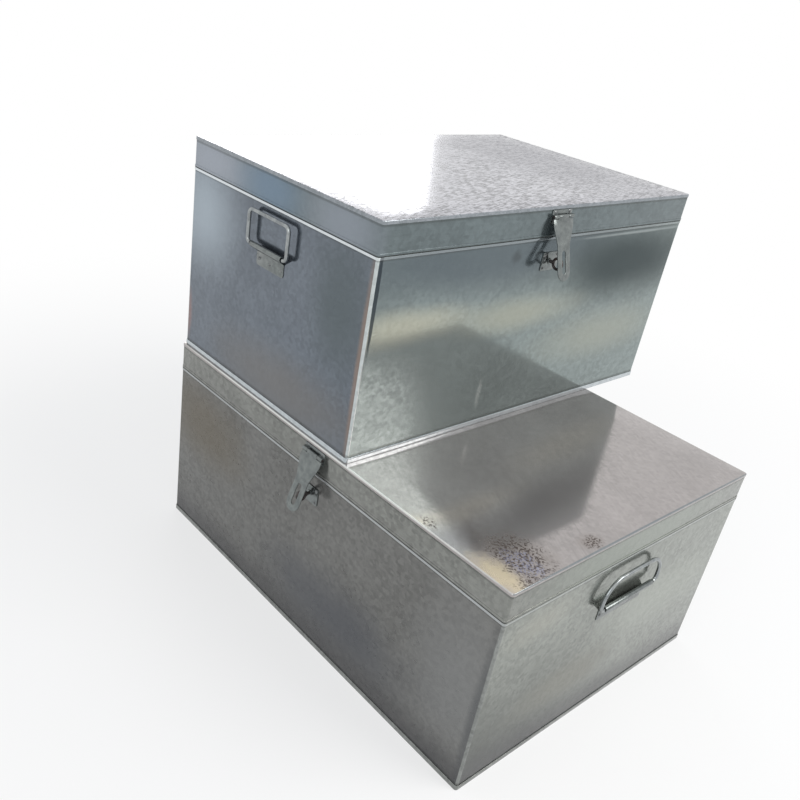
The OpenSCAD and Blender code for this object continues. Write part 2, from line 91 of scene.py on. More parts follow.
class Bench:
    """Work on whole pieces: blanks, placing, joining and modifiers."""

    @staticmethod
    def clear() -> None:
        """Leaves edit mode and selects nothing."""
        if bpy.context.object is not None and bpy.context.object.mode != "OBJECT":
            bpy.ops.object.mode_set(mode="OBJECT")
        bpy.ops.object.select_all(action="DESELECT")

    @staticmethod
    def only(piece: Piece) -> None:
        """Selects one piece and makes it active."""
        Bench.clear()
        piece.select_set(True)
        bpy.context.view_layer.objects.active = piece

    @staticmethod
    def settle() -> Piece:
        """Puts the active piece's size, turn and place in its mesh."""
        bpy.ops.object.transform_apply(location=True, rotation=True, scale=True)
        return bpy.context.object

    @staticmethod
    def slab(low: Sequence[float], high: Sequence[float]) -> Piece:
        """A flat blank between two corners."""
        Bench.clear()
        a, b = Vector(low), Vector(high)
        bpy.ops.mesh.primitive_cube_add(size=1.0, location=(a + b) / 2)
        bpy.context.object.scale = b - a
        return Bench.settle()

    @staticmethod
    def rod(radius: float, start: Point, end: Point, sides: int = 32) -> Piece:
        """A round bar from one point to another."""
        Bench.clear()
        a, b = Vector(start), Vector(end)
        bpy.ops.mesh.primitive_cylinder_add(
            vertices=sides, radius=radius, depth=(b - a).length, location=(a + b) / 2,
            rotation=(b - a).to_track_quat("Z", "Y").to_euler())
        return Bench.settle()

    @staticmethod
    def modify(piece: Piece, kind: str, **settings: Any) -> None:
        """Adds a modifier and applies it."""
        Bench.only(piece)
        modifier = piece.modifiers.new(kind.title(), kind)
        for key, value in settings.items():
            setattr(modifier, key, value)
        bpy.ops.object.modifier_apply(modifier=modifier.name)

    @staticmethod
    def soften(piece: Piece, width: float, segments: int = 2) -> Piece:
        """Rounds every edge sharper than forty degrees."""
        Bench.modify(piece, "BEVEL", width=width, segments=segments, limit_method="ANGLE",
                     angle_limit=math.radians(40), use_clamp_overlap=True)
        return piece

    @staticmethod
    def turned(piece: Piece, matrix: Matrix) -> Piece:
        """Moves a piece, and puts the move in its mesh."""
        Bench.only(piece)
        piece.matrix_world = matrix
        return Bench.settle()

    @staticmethod
    def copies(piece: Piece, places: Sequence[Matrix]) -> Piece:
        """Copies a piece to each place, and joins the copies. The piece takes the first."""
        made = []
        for place in places[1:]:
            Bench.only(piece)
            bpy.ops.object.duplicate(linked=False)
            made.append(Bench.turned(bpy.context.object, place))
        return Bench.join([Bench.turned(piece, places[0]), *made])

    @staticmethod
    def join(pieces: Sequence[Piece]) -> Piece:
        """Joins pieces into the first."""
        Bench.clear()
        for piece in pieces:
            piece.select_set(True)
        bpy.context.view_layer.objects.active = pieces[0]
        if len(pieces) > 1:
            bpy.ops.object.join()
        return pieces[0]

    @staticmethod
    def carve(piece: Piece, cutter: Piece) -> None:
        """Cuts a shape out of a piece, and removes the cutter."""
        Bench.true_up(cutter)
        Bench.modify(piece, "BOOLEAN", operation="DIFFERENCE", solver="EXACT", object=cutter)
        Bench.only(cutter)
        bpy.ops.object.delete()

    @staticmethod
    def true_up(piece: Piece) -> Piece:
        """Merges doubles and turns every face outwards."""
        with Edit(piece):
            bpy.ops.mesh.remove_doubles(threshold=0.004)
            bpy.ops.mesh.select_all(action="SELECT")
            bpy.ops.mesh.normals_make_consistent(inside=False)
        return piece


class Edit:
    """Cuts and folds on one piece in edit mode, each on what was picked last."""

    def __init__(self, piece: Piece) -> None:
        """Starts on a piece."""
        self.piece = piece

    def __enter__(self) -> "Edit":
        """Opens the piece in edit mode, with everything selected."""
        Bench.only(self.piece)
        bpy.ops.object.mode_set(mode="EDIT")
        bpy.ops.mesh.select_all(action="SELECT")
        return self

    def __exit__(self, *error: object) -> None:
        """Leaves edit mode."""
        bpy.ops.object.mode_set(mode="OBJECT")

    def pick(self, part: Part, test: Test) -> None:
        """Selects only what a test by place accepts.

        Args:
            part: vertices, edges or faces.
            test: takes a vertex's place, an edge's two ends, or a face's centre and normal.
        """
        bpy.ops.mesh.select_mode(type=part.value)
        bpy.ops.mesh.select_all(action="DESELECT")
        mesh = bmesh.from_edit_mesh(self.piece.data)
        mesh.normal_update()
        if part is Part.VERTS:
            found = [v for v in mesh.verts if test(v.co)]
        elif part is Part.EDGES:
            found = [e for e in mesh.edges if test(e.verts[0].co, e.verts[1].co)]
        else:
            found = [f for f in mesh.faces if test(f.calc_center_median(), f.normal)]
        for item in found:
            item.select_set(True)
        bmesh.update_edit_mesh(self.piece.data)
        if not found:
            raise ValueError(f"{self.piece.name}: no {part.name.lower()} at that place")

    def faces(self, test: Test) -> None:
        """Picks faces by their centre and normal."""
        self.pick(Part.FACES, test)

    def ease(self, test: Test, width: float, segments: int) -> None:
        """Rounds the edges that a test of their two ends accepts."""
        self.pick(Part.EDGES, test)
        bpy.ops.mesh.bevel(offset=width, segments=segments, affect="EDGES", clamp_overlap=True)

    def open(self, test: Test) -> None:
        """Deletes the faces that a test accepts."""
        self.faces(test)
        bpy.ops.mesh.delete(type="FACE")

    @staticmethod
    def cut(axis: int, *places: float) -> None:
        """Cuts the whole mesh across an axis, at each place."""
        for place in places:
            at, across = [0.0, 0.0, 0.0], [0.0, 0.0, 0.0]
            at[axis], across[axis] = place, 1.0
            bpy.ops.mesh.select_all(action="SELECT")
            bpy.ops.mesh.bisect(plane_co=at, plane_no=across)

    @staticmethod
    def pull(offset: Point) -> None:
        """Extrudes the selection by an offset."""
        bpy.ops.mesh.extrude_region_move(TRANSFORM_OT_translate={"value": offset})

    @staticmethod
    def swell(distance: float) -> None:
        """Extrudes the selected band of faces outwards, evenly round its corners."""
        bpy.ops.mesh.extrude_region_shrink_fatten(
            TRANSFORM_OT_shrink_fatten={"value": distance, "use_even_offset": True})

    @staticmethod
    def wind(degrees: float, centre: Point, axis: Point, steps: int) -> None:
        """Winds the selection by the right-hand rule. The operator turns it the other way."""
        bpy.ops.mesh.spin(steps=steps, angle=-math.radians(degrees), center=centre, axis=axis)


def along(axis: int, test: Callable[[Vector], bool] = lambda end: True) -> Test:
    """Accepts edges that run along an axis and whose first end passes a test."""
    def accepts(a: Vector, b: Vector) -> bool:
        run = b - a
        return abs(run[axis]) > 0.999 * run.length and test(a)
    return accepts


def level(a: Vector, b: Vector) -> bool:
    """Whether two places are at one height."""
    return abs(a.z - b.z) < FINE


# Sizes

# What both trunks and all their fittings share, in millimetres
SHEET = 1.0
CORNER = 4.0
HEM = 0.8
HEM_HEIGHT = 5.0
RIVET_HEAD = 3.1
RUN_FIT = 0.06
END_PLAY = 0.4
HAIR = 0.5


@dataclass(frozen=True)
class TrunkSizes:
    """The sizes of one trunk in millimetres, and its place in the stack."""

    name: str
    length: float
    depth: float
    height: float
    hinges: int
    handle_width: float
    handle_height: float
    handle_bend: float
    handle_drop: float
    origin: Point
    quarter_turns: int
    lid_height: float = 55.0
    joint_gap: float = 0.5

    @property
    def joint(self) -> float:
        """Height of the top of the body."""
        return self.height - self.lid_height

    @property
    def place(self) -> Matrix:
        """From the trunk's own millimetres to the stack's metres."""
        turn = Matrix.Rotation(math.radians(90 * self.quarter_turns), 4, "Z")
        return Matrix.Translation(Vector(self.origin) * MM) @ turn @ Matrix.Scale(MM, 4)

    def run(self, wall: Wall) -> float:
        """Length of a wall."""
        return self.length if wall in (Wall.FRONT, Wall.BACK) else self.depth

    def on(self, wall: Wall, x: float = 0, y: float = 0, z: float = 0) -> Matrix:
        """From a place on a wall, y = 0 on its outer face and -y outwards, to the trunk."""
        away = (self.depth if wall in (Wall.FRONT, Wall.BACK) else self.length) / 2
        turn = Matrix.Rotation(math.radians(90 * wall.value), 4, "Z")
        return turn @ Matrix.Translation((x, y - away, z))

    def body(self, name: str) -> str:
        """The name of one of the trunk's CAD bodies or nodes."""
        return f"{self.name}_{name}"


LOWER = TrunkSizes("lower", 900, 675, 410, 3, 165, 58, 42, 85, (0, 0, 0), 0)
UPPER = TrunkSizes("upper", 840, 520, 410, 2, 114, 58, 10, 75, (-186, 86.5, 410), 1)


# Nodes


class Wiring:
    """Adds nodes to a tree and links them."""

    def __init__(self, tree: bpy.types.NodeTree) -> None:
        """Starts on a tree."""
        self.tree = tree

    def feed(self, socket: Socket, value: Any) -> None:
        """Links another socket to an input, or sets its value."""
        if isinstance(value, Socket):
            self.tree.links.new(value, socket)
        elif isinstance(value, tuple) and socket.type == "RGBA":
            socket.default_value = (*value[:3], 1.0)
        else:
            socket.default_value = value

    def add(self, kind: str, inputs: dict[str | int, Any] | None = None,
            **fields: Any) -> bpy.types.Node:
        """Adds a node.

        Args:
            kind: the node's type, without its leading ShaderNode.
            inputs: for each input, a socket to link or a value to set.
            fields: the node's other settings.

        Returns:
            The node.
        """
        node = self.tree.nodes.new("ShaderNode" + kind)
        for key, value in fields.items():
            setattr(node, key, value)
        for key, value in (inputs or {}).items():
            self.feed(node.inputs[key], value)
        return node

    def sum(self, operation: str, *values: Any, clamp: bool = False) -> Socket:
        """A Math node's result."""
        node = self.add("Math", dict(enumerate(values)), operation=operation, use_clamp=clamp)
        return node.outputs[0]

    def vector(self, operation: str, *values: Any) -> Socket:
        """A Vector Math node's result."""
        node = self.add("VectorMath", dict(enumerate(values)), operation=operation)
        return node.outputs[1 if operation == "LENGTH" else 0]

    def blend(self, factor: Any, a: Any, b: Any) -> Socket:
        """Two colours mixed."""
        return self.add("Mix", {0: factor, 6: a, 7: b}, data_type="RGBA").outputs[2]

    def fade(self, value: Any, start: Any, end: Any, low: float = 0.0,
             high: float = 1.0) -> Socket:
        """A smooth step from low at start to high at end."""
        node = self.add("MapRange", {0: value, 1: start, 2: end, 3: low, 4: high},
                        interpolation_type="SMOOTHSTEP")
        return node.outputs[0]

    def noise(self, vector: Socket, scale: Any, detail: float = 2.0,
              roughness: float = 0.5) -> Socket:
        """Cloudy noise from 0 to 1."""
        node = self.add("TexNoise", {"Vector": vector, "Scale": scale, "Detail": detail,
                                     "Roughness": roughness})
        return node.outputs[0]

    def place(self) -> Socket:
        """Object coordinates."""
        return self.add("TexCoord").outputs["Object"]

    def surface(self, colour: Socket, rough: Socket, height: Socket, metal: float) -> None:
        """Wires a material's own shader."""
        bump = self.add("Bump", {"Strength": 1.0, "Distance": 1.0, "Height": height})
        shader = self.tree.nodes["Principled BSDF"]
        for key, value in (("Base Color", colour), ("Roughness", rough),
                           ("Normal", bump.outputs[0]), ("Metallic", metal)):
            self.feed(shader.inputs[key], value)


def new_material(name: str) -> tuple[bpy.types.Material, Wiring]:
    """A material with a Principled shader, and the wiring of its nodes."""
    material = bpy.data.materials.new(name)
    material.use_nodes = True
    return material, Wiring(material.node_tree)


def new_group(name: str, inputs: dict[str, float | Point],
              *outputs: str) -> tuple[bpy.types.NodeTree, Wiring, Any, Any]:
    """Starts a shader node group.

    Args:
        name: the group's name.
        inputs: each input's default, a number or a vector.
        outputs: the name of each output, all of them numbers.

    Returns:
        The group, its wiring, its input node's sockets and its output node's sockets.
    """
    tree = bpy.data.node_groups.new(name, "ShaderNodeTree")
    for key, value in {"Vector": (0, 0, 0), **inputs}.items():
        kind = "NodeSocketVector" if isinstance(value, tuple) else "NodeSocketFloat"
        socket = tree.interface.new_socket(name=key, in_out="INPUT", socket_type=kind)
        socket.default_value = value
    for key in outputs:
        tree.interface.new_socket(name=key, in_out="OUTPUT", socket_type="NodeSocketFloat")
    start, end = tree.nodes.new("NodeGroupInput"), tree.nodes.new("NodeGroupOutput")
    return tree, Wiring(tree), start.outputs, end.inputs


class Effects:
    """The effects that several finishes share, each a node group built once."""

    def __init__(self) -> None:
        """Builds the groups."""
        self.skin = self._zinc_skin()
        self.patch = self._patch()
        self.rub = self._rub_marks()
        self.band = self._band()

    @staticmethod
    def use(w: Wiring, tree: bpy.types.NodeTree, **inputs: Any) -> bpy.types.Node:
        """Places a group in a material. Underscores in the names stand for spaces."""
        node = w.tree.nodes.new("ShaderNodeGroup")
        node.node_tree = tree
        for key, value in inputs.items():
            w.feed(node.inputs[key.replace("_", " ")], value)
        return node

    @staticmethod
    def _zinc_skin() -> bpy.types.NodeTree:
        """Crystals, rolling streaks and cloudy tone of a zinc coat, with its slight waviness."""
        tree, w, start, end = new_group(
            "zinc skin", {"Grain": (0, 0, 0), "Crystals": 0.3, "Streaks": 0.3, "Clouds": 0.4,
                          "Wave": 0.15, "Brushing": 0.008}, "Tone", "Rough", "Height")
        place = start["Vector"]
        wander = w.add("TexNoise", {"Vector": place, "Scale": 90.0}).outputs[1]
        wander = w.add("VectorMath", {0: wander, "Scale": 0.006}, operation="SCALE").outputs[0]
        cells = w.add("TexVoronoi", {"Vector": w.vector("ADD", place, wander), "Scale": 150.0})
        cell = w.add("SeparateColor", {0: cells.outputs[1]}).outputs[0]
        fine = w.noise(start["Grain"], 1.0, 4.0, 0.62)
        cloud = w.noise(place, 7.0, 4.0, 0.55)
        tone: Socket | float = 0.0
        for layer, key in ((cell, "Crystals"), (fine, "Streaks"), (cloud, "Clouds")):
            tone = w.sum("MULTIPLY_ADD", w.sum("SUBTRACT", layer, 0.5), start[key], tone)
        w.feed(end["Tone"], w.sum("ADD", tone, 0.5, clamp=True))
        w.feed(end["Rough"], w.sum("MULTIPLY", tone, -0.12))
        height = w.sum("MULTIPLY", w.noise(place, 3.2, 1.0), start["Wave"])
        height = w.sum("MULTIPLY_ADD", w.noise(place, 120.0), 0.012, height)
        height = w.sum("MULTIPLY_ADD", fine, start["Brushing"], height)
        w.feed(end["Height"], w.sum("MULTIPLY", height, MM))
        return tree

    @staticmethod
    def _patch() -> bpy.types.NodeTree:
        """A soft, ragged spot round a place."""
        tree, w, start, end = new_group(
            "spot", {"Centre": (0, 0, 0), "Reach": (0.1, 0.1, 0.1), "Ragged": 0.4,
                     "Ragged Scale": 40.0, "Soft": 0.6, "Grains": 0.0, "Grain Scale": 260.0},
            "Mask")
        place = start["Vector"]
        away = w.vector("DIVIDE", w.vector("SUBTRACT", place, start["Centre"]), start["Reach"])
        rough = w.sum("SUBTRACT", w.noise(place, start["Ragged Scale"], 5.0, 0.6), 0.5)
        distance = w.sum("MULTIPLY_ADD", rough, start["Ragged"], w.vector("LENGTH", away))
        mask = w.fade(distance, 1.0, w.sum("SUBTRACT", 1.0, start["Soft"]))
        level_of_specks = w.sum("MULTIPLY_ADD", mask, -0.12, 0.60)
        specks = w.fade(w.noise(place, start["Grain Scale"], 3.0, 0.6), level_of_specks,
                        w.sum("ADD", level_of_specks, 0.07))
        specks = w.sum("MULTIPLY_ADD", w.sum("SUBTRACT", specks, 1.0), start["Grains"], 1.0)
        w.feed(end["Mask"], w.sum("MULTIPLY", mask, specks))
        return tree

    @staticmethod
    def _rub_marks() -> bpy.types.NodeTree:
        """Fine scratches of handling, thin and in two directions."""
        tree, w, start, end = new_group("rub marks", {"Amount": 0.5}, "Mask")
        masks = []
        for turn, stretch in ((0.35, (0.11, 0.0024, 0.0024)), (-0.9, (0.07, 0.0019, 0.0019))):
            turned = w.add("Mapping", {"Vector": start["Vector"], "Rotation": (turn, turn, turn),
                                       "Scale": stretch}, vector_type="TEXTURE")
            masks.append(w.fade(w.noise(turned.outputs[0], 1.0, 1.0), 0.74, 0.84))
        where = w.fade(w.noise(start["Vector"], 9.0), 0.48, 0.66)
        both = w.sum("MULTIPLY", w.sum("MAXIMUM", *masks), where)
        w.feed(end["Mask"], w.sum("MULTIPLY", both, start["Amount"]))
        return tree

    @staticmethod
    def _band() -> bpy.types.NodeTree:
        """A band round a height: a painted highlight on a hem, or painted shade in a fold."""
        tree, w, start, end = new_group(
            "band", {"Middle": 0.0, "Half": 0.003, "Soft": 0.001, "Broken": 0.3}, "Mask")
        z = w.add("SeparateXYZ", {0: start["Vector"]}).outputs[2]
        away = w.sum("ABSOLUTE", w.sum("SUBTRACT", z, start["Middle"]))
        mask = w.fade(away, w.sum("ADD", start["Half"], start["Soft"]), start["Half"])
        patchy = w.noise(start["Vector"], 24.0, 4.0, 0.6)
        keep = w.sum("SUBTRACT", 1.0, w.sum("MULTIPLY", patchy, start["Broken"]))
        w.feed(end["Mask"], w.sum("MULTIPLY", mask, keep))
        return tree


# Finishes

SCRATCH_TONE: Colour = (0.62, 0.64, 0.64)
LEAST_ROUGH = 0.06


@dataclass(frozen=True)
class Coat:
    """A finished material with the record's slot that it belongs to."""

    slot: str
    material: bpy.types.Material


@dataclass(frozen=True)
class Spot:
    """A place where a sheet's tone departs from the rest, in the trunk's own metres."""

    centre: Point
    reach: Point
    tone: Colour
    weight: float
    rough: float = 0.0
    ragged: float = 0.4
    ragged_scale: float = 7.0
    soft: float = 0.9
    grains: float = 0.0
    grain_scale: float = 260.0

    def mask(self, w: Wiring, effects: Effects, place: Socket) -> Socket:
        """How much of the spot shows at each place."""
        return effects.use(w, effects.patch, Vector=place, Centre=self.centre, Reach=self.reach,
                           Ragged=self.ragged, Ragged_Scale=self.ragged_scale, Soft=self.soft,
                           Grains=self.grains, Grain_Scale=self.grain_scale).outputs[0]


@dataclass(frozen=True)
class Band:
    """A band of painted highlight or painted shade round a trunk, by its height in metres."""

    middle: float
    half: float
    soft: float
    tone: Colour
    weight: float
    rough: float
    broken: float

    def mask(self, w: Wiring, effects: Effects, place: Socket) -> Socket:
        """How much of the band shows at each place."""
        return effects.use(w, effects.band, Vector=place, Middle=self.middle, Half=self.half,
                           Soft=self.soft, Broken=self.broken).outputs[0]


@dataclass(frozen=True)
class SheetFinish:
    """A galvanised sheet's tones, on both sides of a middle one, and its texture."""

    name: str
    middle: Colour
    rough: float = 0.16
    spread: float = 0.22
    metal: float = 0.75
    crystals: float = 0.7
    streaks: float = 0.9
    clouds: float = 1.3
    wave: float = 0.12
    brushing: float = 0.008
    scratches: float = 0.35
    grain: Point = (14.0, 620.0, 620.0)
    grain_turn: float = 0.0
    spots: tuple[Spot, ...] = ()
    bands: tuple[Band, ...] = ()

    def coat(self, effects: Effects, trunk: TrunkSizes) -> Coat:
        """Builds the finish, with its pattern in one trunk's own frame."""
        material, w = new_material(f"{trunk.name} {self.name}")
        light, deep = (tuple(part * (1 + sign * self.spread) for part in self.middle)
                       for sign in (1, -1))
        turn = -math.radians(90 * trunk.quarter_turns)
        shift = Matrix.Rotation(turn, 4, "Z") @ (Vector(trunk.origin) * -MM)
        local = w.add("Mapping", {"Vector": w.place(), "Location": shift,
                                  "Rotation": (0.0, 0.0, turn)}).outputs[0]
        turned = w.add("Mapping", {"Vector": local, "Rotation": (0.0, 0.0, self.grain_turn)})
        grain = w.add("Mapping", {"Vector": turned.outputs[0], "Scale": self.grain}).outputs[0]
        skin = effects.use(w, effects.skin, Vector=local, Grain=grain, Crystals=self.crystals,
                           Streaks=self.streaks, Clouds=self.clouds, Wave=self.wave,
                           Brushing=self.brushing).outputs
        scratch = effects.use(w, effects.rub, Vector=local, Amount=self.scratches).outputs[0]
        colour = w.blend(scratch, w.blend(skin["Tone"], deep, light), SCRATCH_TONE)
        rough = w.sum("ADD", skin["Rough"], self.rough)
        rough = w.sum("MULTIPLY_ADD", scratch, 0.1, rough)
        # Spots and bands lay stains and marks, and also painted highlights, reflections and
        # shade, over the tone
        for mark in (*self.spots, *self.bands):
            mask = w.sum("MULTIPLY", mark.mask(w, effects, local), mark.weight)
            colour = w.blend(mask, colour, mark.tone)
            rough = w.sum("MULTIPLY_ADD", mask, mark.rough, rough)
        rough = w.sum("MAXIMUM", rough, LEAST_ROUGH)
        w.surface(colour, rough, skin["Height"], self.metal)
        return Coat("lid_sheet" if self.name.startswith("lid") else "wall_sheet", material)


@dataclass(frozen=True)
class FittingFinish:
    """A small fitting's metal: its tones, dirt and pitting."""

    name: str
    slot: str
    light: Colour
    deep: Colour
    dirt: Colour
    rough: float
    dirt_weight: float
    metal: float = 0.9
    pitting: float = 0.02
    scale: float = 90.0

    def coat(self, effects: Effects) -> Coat:
        """Builds the finish from the shared node groups."""
        material, w = new_material(self.name)
        place = w.place()
        tone = w.noise(place, self.scale, 5.0, 0.6)
        colour = w.blend(w.fade(tone, 0.3, 0.7), self.deep, self.light)
        dirt = w.fade(w.noise(place, self.scale * 0.45, 6.0, 0.65), 0.5, 0.72)
        dirt = w.sum("MULTIPLY", dirt, self.dirt_weight)
        marks = effects.use(w, effects.rub, Vector=place, Amount=0.5).outputs[0]
        colour = w.blend(marks, w.blend(dirt, colour, self.dirt), self.light)
        rough = w.sum("MULTIPLY_ADD", dirt, 0.35, w.sum("MULTIPLY_ADD", tone, 0.12, self.rough))
        height = w.sum("MULTIPLY", w.noise(place, self.scale * 6, 3.0, 0.6), self.pitting * MM)
        w.surface(colour, rough, height, self.metal)
        return Coat(self.slot, material)


FITTINGS = (
    FittingFinish("zinc fitting", "zinc_fittings", (0.56, 0.58, 0.58), (0.38, 0.40, 0.40),
                  (0.10, 0.09, 0.08), 0.2, 0.25),
    FittingFinish("zinc rod", "zinc_fittings", (0.36, 0.38, 0.38), (0.24, 0.26, 0.27),
                  (0.08, 0.07, 0.06), 0.14, 0.3),
    FittingFinish("zinc plate", "zinc_fittings", (0.22, 0.24, 0.235), (0.15, 0.165, 0.165),
                  (0.09, 0.09, 0.085), 0.16, 0.2),
    FittingFinish("rivet zinc", "rivet_zinc", (0.26, 0.27, 0.27), (0.12, 0.125, 0.13),
                  (0.03, 0.028, 0.026), 0.3, 0.6),
    FittingFinish("dark iron", "dark_iron", (0.085, 0.075, 0.072), (0.03, 0.026, 0.026),
                  (0.085, 0.035, 0.02), 0.42, 0.7, metal=0.7, pitting=0.12, scale=140.0),
)

# Tones: painted hem highlight, painted shade in folds and joints, and reflectance where stained
HEM_HIGHLIGHT: Colour = (0.78, 0.82, 0.84)
FOLD_SHADE: Colour = (0.05, 0.055, 0.05)
STAIN_CREAM: Colour = (0.66, 0.57, 0.40)
STAIN_HAZE: Colour = (0.20, 0.165, 0.14)
STAIN_BROWN: Colour = (0.045, 0.028, 0.022)
STAIN_SLATE: Colour = (0.30, 0.31, 0.42)


def hem_bands(trunk: TrunkSizes, highlight: float = 0.4) -> tuple[Band, ...]:
    """The hem beads by the joint line: a painted highlight, and painted shade in the folds."""
    joint, top = trunk.joint * MM, trunk.height * MM
    return (
        # painted highlight on the body's hem bead
        Band(joint - 0.0025, 0.0018, 0.0006, HEM_HIGHLIGHT, highlight, -0.04, 0.3),
        # painted shade: in the joint, under the hem bead, under the lid's fold, above the base
        Band(joint + 0.0008, 0.0008, 0.0006, FOLD_SHADE, 0.85, 0.2, 0.2),
        Band(joint - 0.0062, 0.0006, 0.0012, FOLD_SHADE, 0.45, 0.2, 0.6),
        Band(top - 0.0078, 0.0010, 0.0022, FOLD_SHADE, 0.55, 0.2, 0.5),
        Band(0.0125, 0.0012, 0.003, FOLD_SHADE, 0.6, 0.2, 0.5),
    )


def wash(wall: Wall, away: float, along_wall: float, height: float, wide: float, high: float,
         tone: Colour, weight: float, *look: float, deep: float = 0.2) -> Spot:
    """A soft tone on a wall.

    Args:
        wall: the front wall, or one of the end walls.
        away: where the wall stands.
        along_wall: the tone's place along the wall.
        height: its height.
        wide: how far it reaches along the wall.
        high: how far it reaches up and down.
        tone: its colour.
        weight: how much it covers.
        look: the rest of a spot's values, from its roughness on.
        deep: how far it reaches across the wall.

    Returns:
        The spot.
    """
    if wall is Wall.FRONT:
        return Spot((along_wall, away, height), (wide, deep, high), tone, weight, *look)
    return Spot((away, along_wall, height), (deep, wide, high), tone, weight, *look)


def blot(x: float, y: float, wide: float, high: float, tone: Colour, weight: float,
         rough: float, ragged: float = 1.2, scale: float = 90.0, soft: float = 0.6,
         grains: float = 1.0, grain_scale: float = 260.0) -> Spot:
    """A ragged, speckled stain on a lid, too thin to show on the sheet's other side."""
    return Spot((x, y, 0.41), (wide, high, 0.0005), tone, weight, rough, ragged, scale, soft,
                grains, grain_scale)


def lower_sheets() -> tuple[SheetFinish, ...]:
    """The lower trunk's sheets."""
    front = partial(wash, Wall.FRONT, -0.3375)
    end = partial(wash, Wall.RIGHT, 0.45)
    # Painted shade: each lower wall darker towards its foot
    foot = Band(0.012, 0.004, 0.075, (0.055, 0.055, 0.06), 0.75, 0.05, 0.3)
    return (
        # Painted shade and light: the hasp wall's tone set darker, facing away from the key lamp,
        # the end walls' lighter, for the lit end
        SheetFinish("hasp wall", (0.165, 0.165, 0.158), 0.22, spots=(
            front(-0.36, 0.26, 0.22, 0.13, (0.150, 0.130, 0.098), 0.75, 0.03, 0.5, 8.0),
            front(0.40, 0.20, 0.16, 0.24, (0.23, 0.235, 0.235), 0.6, 0.0, 0.4, 8.0),
            # Painted shade: the hasp wall darker towards the bottom
            front(0.10, 0.10, 0.30, 0.12, (0.080, 0.086, 0.100), 0.75, 0.03, 0.5, 8.0),
            # Painted shade: a narrow dark strip beside the right-hand corner fold
            front(0.4455, 0.15, 0.018, 0.30, (0.08, 0.085, 0.09), 0.6, 0.0, 0.2, 8.0, 0.8),
        ), bands=(*hem_bands(LOWER, 0.45), foot)),
        SheetFinish("end wall", (0.26, 0.275, 0.25), 0.17, spots=(
            # Painted shade: the end wall darker towards the bottom by the hasp-side corner
            end(-0.36, -0.02, 0.66, 0.34, (0.055, 0.06, 0.054), 0.95, 0.03, 0.35, 6.0),
            end(0.16, 0.20, 0.26, 0.10, (0.36, 0.385, 0.34), 0.6, 0.0, 0.4, 6.0),
            end(-0.10, 0.12, 0.20, 0.06, (0.20, 0.195, 0.16), 0.5, 0.0, 0.8, 12.0),
            end(-0.24, 0.31, 0.12, 0.05, (0.36, 0.36, 0.31), 0.5, 0.0, 0.4, 8.0),
        ), bands=(*hem_bands(LOWER, 0.25), foot)),
        SheetFinish("plain wall", (0.22, 0.22, 0.21), 0.2, bands=(*hem_bands(LOWER), foot)),
        SheetFinish("lid rim", (0.22, 0.225, 0.21), 0.2, spots=(
            end(0.0, 0.38, 0.40, 0.06, (0.30, 0.33, 0.29), 0.7, -0.02, 0.3, 6.0, 0.8,
                deep=0.03),
        ), bands=hem_bands(LOWER, 0.3)),
        SheetFinish("lid top", (0.385, 0.36, 0.352), 0.12, crystals=0.30, clouds=1.0, wave=0.16,
                    brushing=0.010, grain_turn=0.5, spots=(
            blot(0.392, -0.268, 0.100, 0.085, STAIN_HAZE, 0.50, 0.15, 0.9, 40.0, 0.9, 0.0),
            blot(0.412, -0.322, 0.075, 0.034, STAIN_CREAM, 0.85, 0.2, 0.7, 60.0, 0.8, 0.0),
            blot(0.396, -0.262, 0.085, 0.062, STAIN_BROWN, 0.80, 0.3, 1.0, 70.0, 0.6, 1.0, 210.0),
            blot(0.412, -0.270, 0.055, 0.036, STAIN_SLATE, 0.65, 0.1, grain_scale=330.0),
            blot(0.445, -0.300, 0.030, 0.030, STAIN_BROWN, 0.7, 0.2),
            blot(0.428, -0.130, 0.024, 0.034, STAIN_HAZE, 0.35, 0.1, 0.9, 60.0, 0.8, 0.0),
            blot(0.432, -0.128, 0.022, 0.030, STAIN_BROWN, 0.8, 0.2, grain_scale=300.0),
            blot(0.268, -0.322, 0.024, 0.016, STAIN_BROWN, 0.8, 0.2),
            # Painted highlight along the fold of the lid's front edge
            front(0.0, 0.4088, 0.60, 0.0026, (0.78, 0.80, 0.77), 0.75, -0.04, 0.3, 20.0, 0.5,
                  deep=0.0026),
            # Painted shade along the fold of the lid's right-hand edge
            Spot((0.4502, 0.0, 0.4088), (0.0026, 0.60, 0.0026), (0.16, 0.20, 0.22), 0.7, 0.0,
                 0.3, 20.0, 0.5),
        )),
        SheetFinish("seam", (0.24, 0.25, 0.24), 0.18, bands=hem_bands(LOWER, 0.3)),
        SheetFinish("base", (0.24, 0.25, 0.24), 0.2),
        SheetFinish("inside", (0.27, 0.27, 0.255), 0.3),
    )


